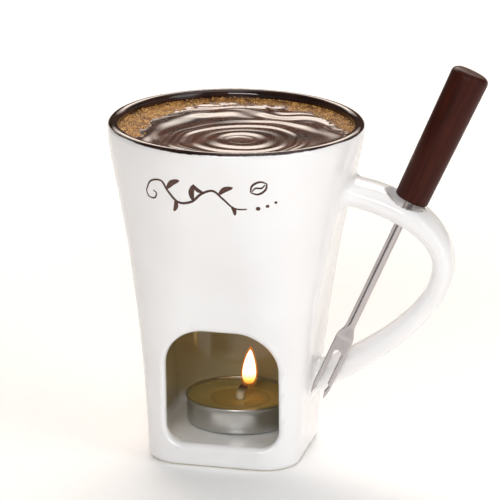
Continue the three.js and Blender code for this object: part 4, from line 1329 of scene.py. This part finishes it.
class FONDUE_OT_flame(bpy.types.Operator):
    """Lights the wick: a bright core in a thin orange sheet, and the warm light that it casts"""
    bl_idname = "fondue.flame"
    bl_label = "Flame"

    def execute(self, context):
        settings = context.scene.fondue_tealight
        tall, wide = settings.flame_height / MM, settings.flame_width / MM
        foot = at_tealight((3.1, 0, TEALIGHT_HEIGHT + 2.2))
        core_foot, core_tall = foot + [0, 0, 1.2], tall - 2.6
        sheet = flame_skin("flame_sheet", foot, tall, wide, 0.5)
        sheet_gas = burning_gas("glowing_flame_sheet", foot[2], tall, (
            (0.0, "#7a4a2a"), (0.25, "#d8701c"), (0.6, "#e8791c"), (1.0, "#e07a20")),
            1.2, (0.18, 0.38))
        core = flame_skin("flame_core", core_foot, core_tall, wide * 0.8, 0.4)
        core_gas = burning_gas("glowing_flame_core", core_foot[2], core_tall, (
            (0.0, "#b8601c"), (0.14, "#f0a040"), (0.34, "#ffe0a0"), (1.0, "#fff3cf")),
            settings.flame_strength, (0.12, 1.0))
        for skin, gas in ((sheet, sheet_gas), (core, core_gas)):
            skin.visible_diffuse = False
            finish_piece(skin, "tealight", (), gas)
        lamp = bpy.data.lights.new("flame_light", "POINT")
        lamp.energy = settings.flame_light
        lamp.color = linear("#ffb968")
        lamp.shadow_soft_size = 2.5 * MM
        glow = in_scene("flame_light", lamp)
        glow.location = (foot + [0.2, 0, tall * 0.55]) * MM
        glow.parent = frame["bodies"]["tealight"]
        return {"FINISHED"}


def soft_box(name, power, size, place, aim, tint="#ffffff"):
    lamp = bpy.data.lights.new(name, "AREA")
    lamp.shape = "RECTANGLE"
    lamp.size, lamp.size_y = size
    lamp.energy = power
    lamp.color = linear(tint)
    box = in_scene(name, lamp)
    box.location = place
    box.rotation_euler = (Vector(place) - Vector(aim)).to_track_quat("Z", "Y").to_euler()


def studio_air(strength):
    """Pale light from all round, dim in front and warm behind, and brighter from the right."""
    world = bpy.data.worlds.new("soft_studio")
    world.use_nodes = True
    tree = world.node_tree
    tree.nodes.clear()
    place = add_node(tree, "ShaderNodeTexCoord").outputs["Generated"]
    parts = add_node(tree, "ShaderNodeSeparateXYZ", {0: place})
    sky = add_node(tree, "ShaderNodeValToRGB", {"Fac": parts.outputs["Z"]}, (
        (0.0, "#f4f4f4"), (0.18, "#f0f0f0"), (0.34, "#8e8c8b"), (0.6, "#6f6c6b"), (1.0, "#c8c8c8")))
    front = add_node(tree, "ShaderNodeVectorMath", {0: place, 1: (0.223, -0.975, 0.0)},
                     operation="DOT_PRODUCT")
    dim = add_node(tree, "ShaderNodeMapRange", {
        "Value": front, "From Min": 0.93, "From Max": 0.975, "To Min": 1.0, "To Max": 0.3})
    behind = add_node(tree, "ShaderNodeMapRange", {
        "Value": front, "From Min": -0.45, "From Max": -0.8})
    warm = add_node(tree, "ShaderNodeMix", {0: behind, 6: "#ffffff", 7: "#9c8272"},
                    data_type="RGBA")
    lean = add_node(tree, "ShaderNodeMapRange", {
        "Value": parts.outputs["X"], "From Min": -1.0, "From Max": 1.0,
        "To Min": 0.5, "To Max": 1.6})
    share = add_node(tree, "ShaderNodeMath", {0: dim, 1: lean}, operation="MULTIPLY")
    tinted = add_node(tree, "ShaderNodeVectorMath", {0: sky, 1: warm}, operation="MULTIPLY")
    dimmed = add_node(tree, "ShaderNodeVectorMath", {0: tinted, "Scale": share},
                      operation="SCALE")
    air = add_node(tree, "ShaderNodeBackground", {"Color": dimmed, "Strength": strength})
    add_node(tree, "ShaderNodeOutputWorld", {"Surface": air})
    return world


class FONDUE_OT_stage(bpy.types.Operator):
    """Lays the pale floor, sets the soft lights and places the camera"""
    bl_idname = "fondue.stage"
    bl_label = "Stage"

    def execute(self, context):
        settings, scene = context.scene.fondue_stage, context.scene
        corners = [(x * FLOOR_REACH, y * FLOOR_REACH, 0)
                   for x, y in ((-1, -1), (1, -1), (1, 1), (-1, 1))]
        floor = mesh_object("stage_floor", corners, [(0, 1, 2, 3)])
        floor.data.materials.append(floor_paper(settings.floor_colour))
        scene.world = studio_air(settings.fill)
        soft_box("top_light", settings.top_power, (1.4, 1.0), (0.25, 0.1, 1.5), MUG_MIDDLE)
        soft_box("right_light", settings.side_power, (0.8, 1.2), (1.3, -0.5, 0.7), MUG_MIDDLE)
        # Three sheets of one soft light, each wider and further back than the last, so that its
        # edge fades where the chocolate mirrors it.
        for sheet, (wide, share) in enumerate(((1.3, 0.34), (1.9, 0.34), (2.5, 0.32))):
            soft_box(f"back_light_{sheet}", settings.back_power * share, (wide, 0.42 * wide),
                     (-0.35, 1.35 + 0.02 * sheet, 1.12), MUG_MIDDLE, "#fff1e4")
        soft_box("front_light", settings.front_power, (0.7, 0.4), (0.12, -1.3, 0.8), (0, 0, 0.03))
        scene.view_settings.view_transform = "Standard"
        scene.view_settings.look = "None"

        level = Vector((cos(CAMERA_TURN), sin(CAMERA_TURN), 0))
        axis = Vector((sin(CAMERA_TURN) * cos(CAMERA_RISE), -cos(CAMERA_TURN) * cos(CAMERA_RISE),
                       sin(CAMERA_RISE)))
        back = (Vector(CAMERA_PLACE) - Vector(CAMERA_TARGET)).normalized()
        up = (axis.cross(level) * cos(CAMERA_ROLL) - level * sin(CAMERA_ROLL)).normalized()
        right = up.cross(back).normalized()
        turned = Matrix((right, back.cross(right), back)).transposed().to_4x4()
        lens = bpy.data.cameras.new("camera")
        lens.sensor_width, lens.lens = SENSOR_WIDTH, FOCAL_LENGTH
        lens.clip_start, lens.clip_end = 0.05, 20.0
        scene.camera = in_scene("camera", lens)
        scene.camera.matrix_world = Matrix.Translation(CAMERA_PLACE) @ turned
        return {"FINISHED"}


class FONDUE_PT_panel(bpy.types.Panel):
    bl_idname = "FONDUE_PT_panel"
    bl_label = "Fondue mug set"
    bl_space_type = "VIEW_3D"
    bl_region_type = "UI"
    bl_category = "Fondue"

    def draw(self, context):
        for operator, group in MAKERS:
            box = self.layout.box()
            box.operator(operator)
            settings = getattr(context.scene, group)
            for name in settings.__annotations__:
                box.prop(settings, name)


MAKERS = (("fondue.mug", "fondue_mug"), ("fondue.flourish", "fondue_mug"),
          ("fondue.chocolate", "fondue_chocolate"), ("fondue.fork", "fondue_fork"),
          ("fondue.tealight", "fondue_tealight"), ("fondue.flame", "fondue_tealight"),
          ("fondue.stage", "fondue_stage"))
GROUPS = {"fondue_mug": MugSettings, "fondue_chocolate": ChocolateSettings,
          "fondue_fork": ForkSettings, "fondue_tealight": TealightSettings,
          "fondue_stage": StageSettings}
CLASSES = (*GROUPS.values(), FONDUE_OT_mug, FONDUE_OT_flourish, FONDUE_OT_chocolate, FONDUE_OT_fork,
           FONDUE_OT_tealight, FONDUE_OT_flame, FONDUE_OT_stage, FONDUE_PT_panel)


def register():
    for each in CLASSES:
        bpy.utils.register_class(each)
    for name, group in GROUPS.items():
        setattr(bpy.types.Scene, name, PointerProperty(type=group))


def unregister():
    for name in GROUPS:
        delattr(bpy.types.Scene, name)
    for each in reversed(CLASSES):
        bpy.utils.unregister_class(each)


def main():
    register()
    bpy.ops.fondue.mug()
    bpy.ops.fondue.flourish()
    bpy.ops.fondue.chocolate()
    bpy.ops.fondue.fork()
    bpy.ops.fondue.tealight()
    bpy.ops.fondue.flame()
    bpy.ops.fondue.stage()


if __name__ == "__main__":
    main()
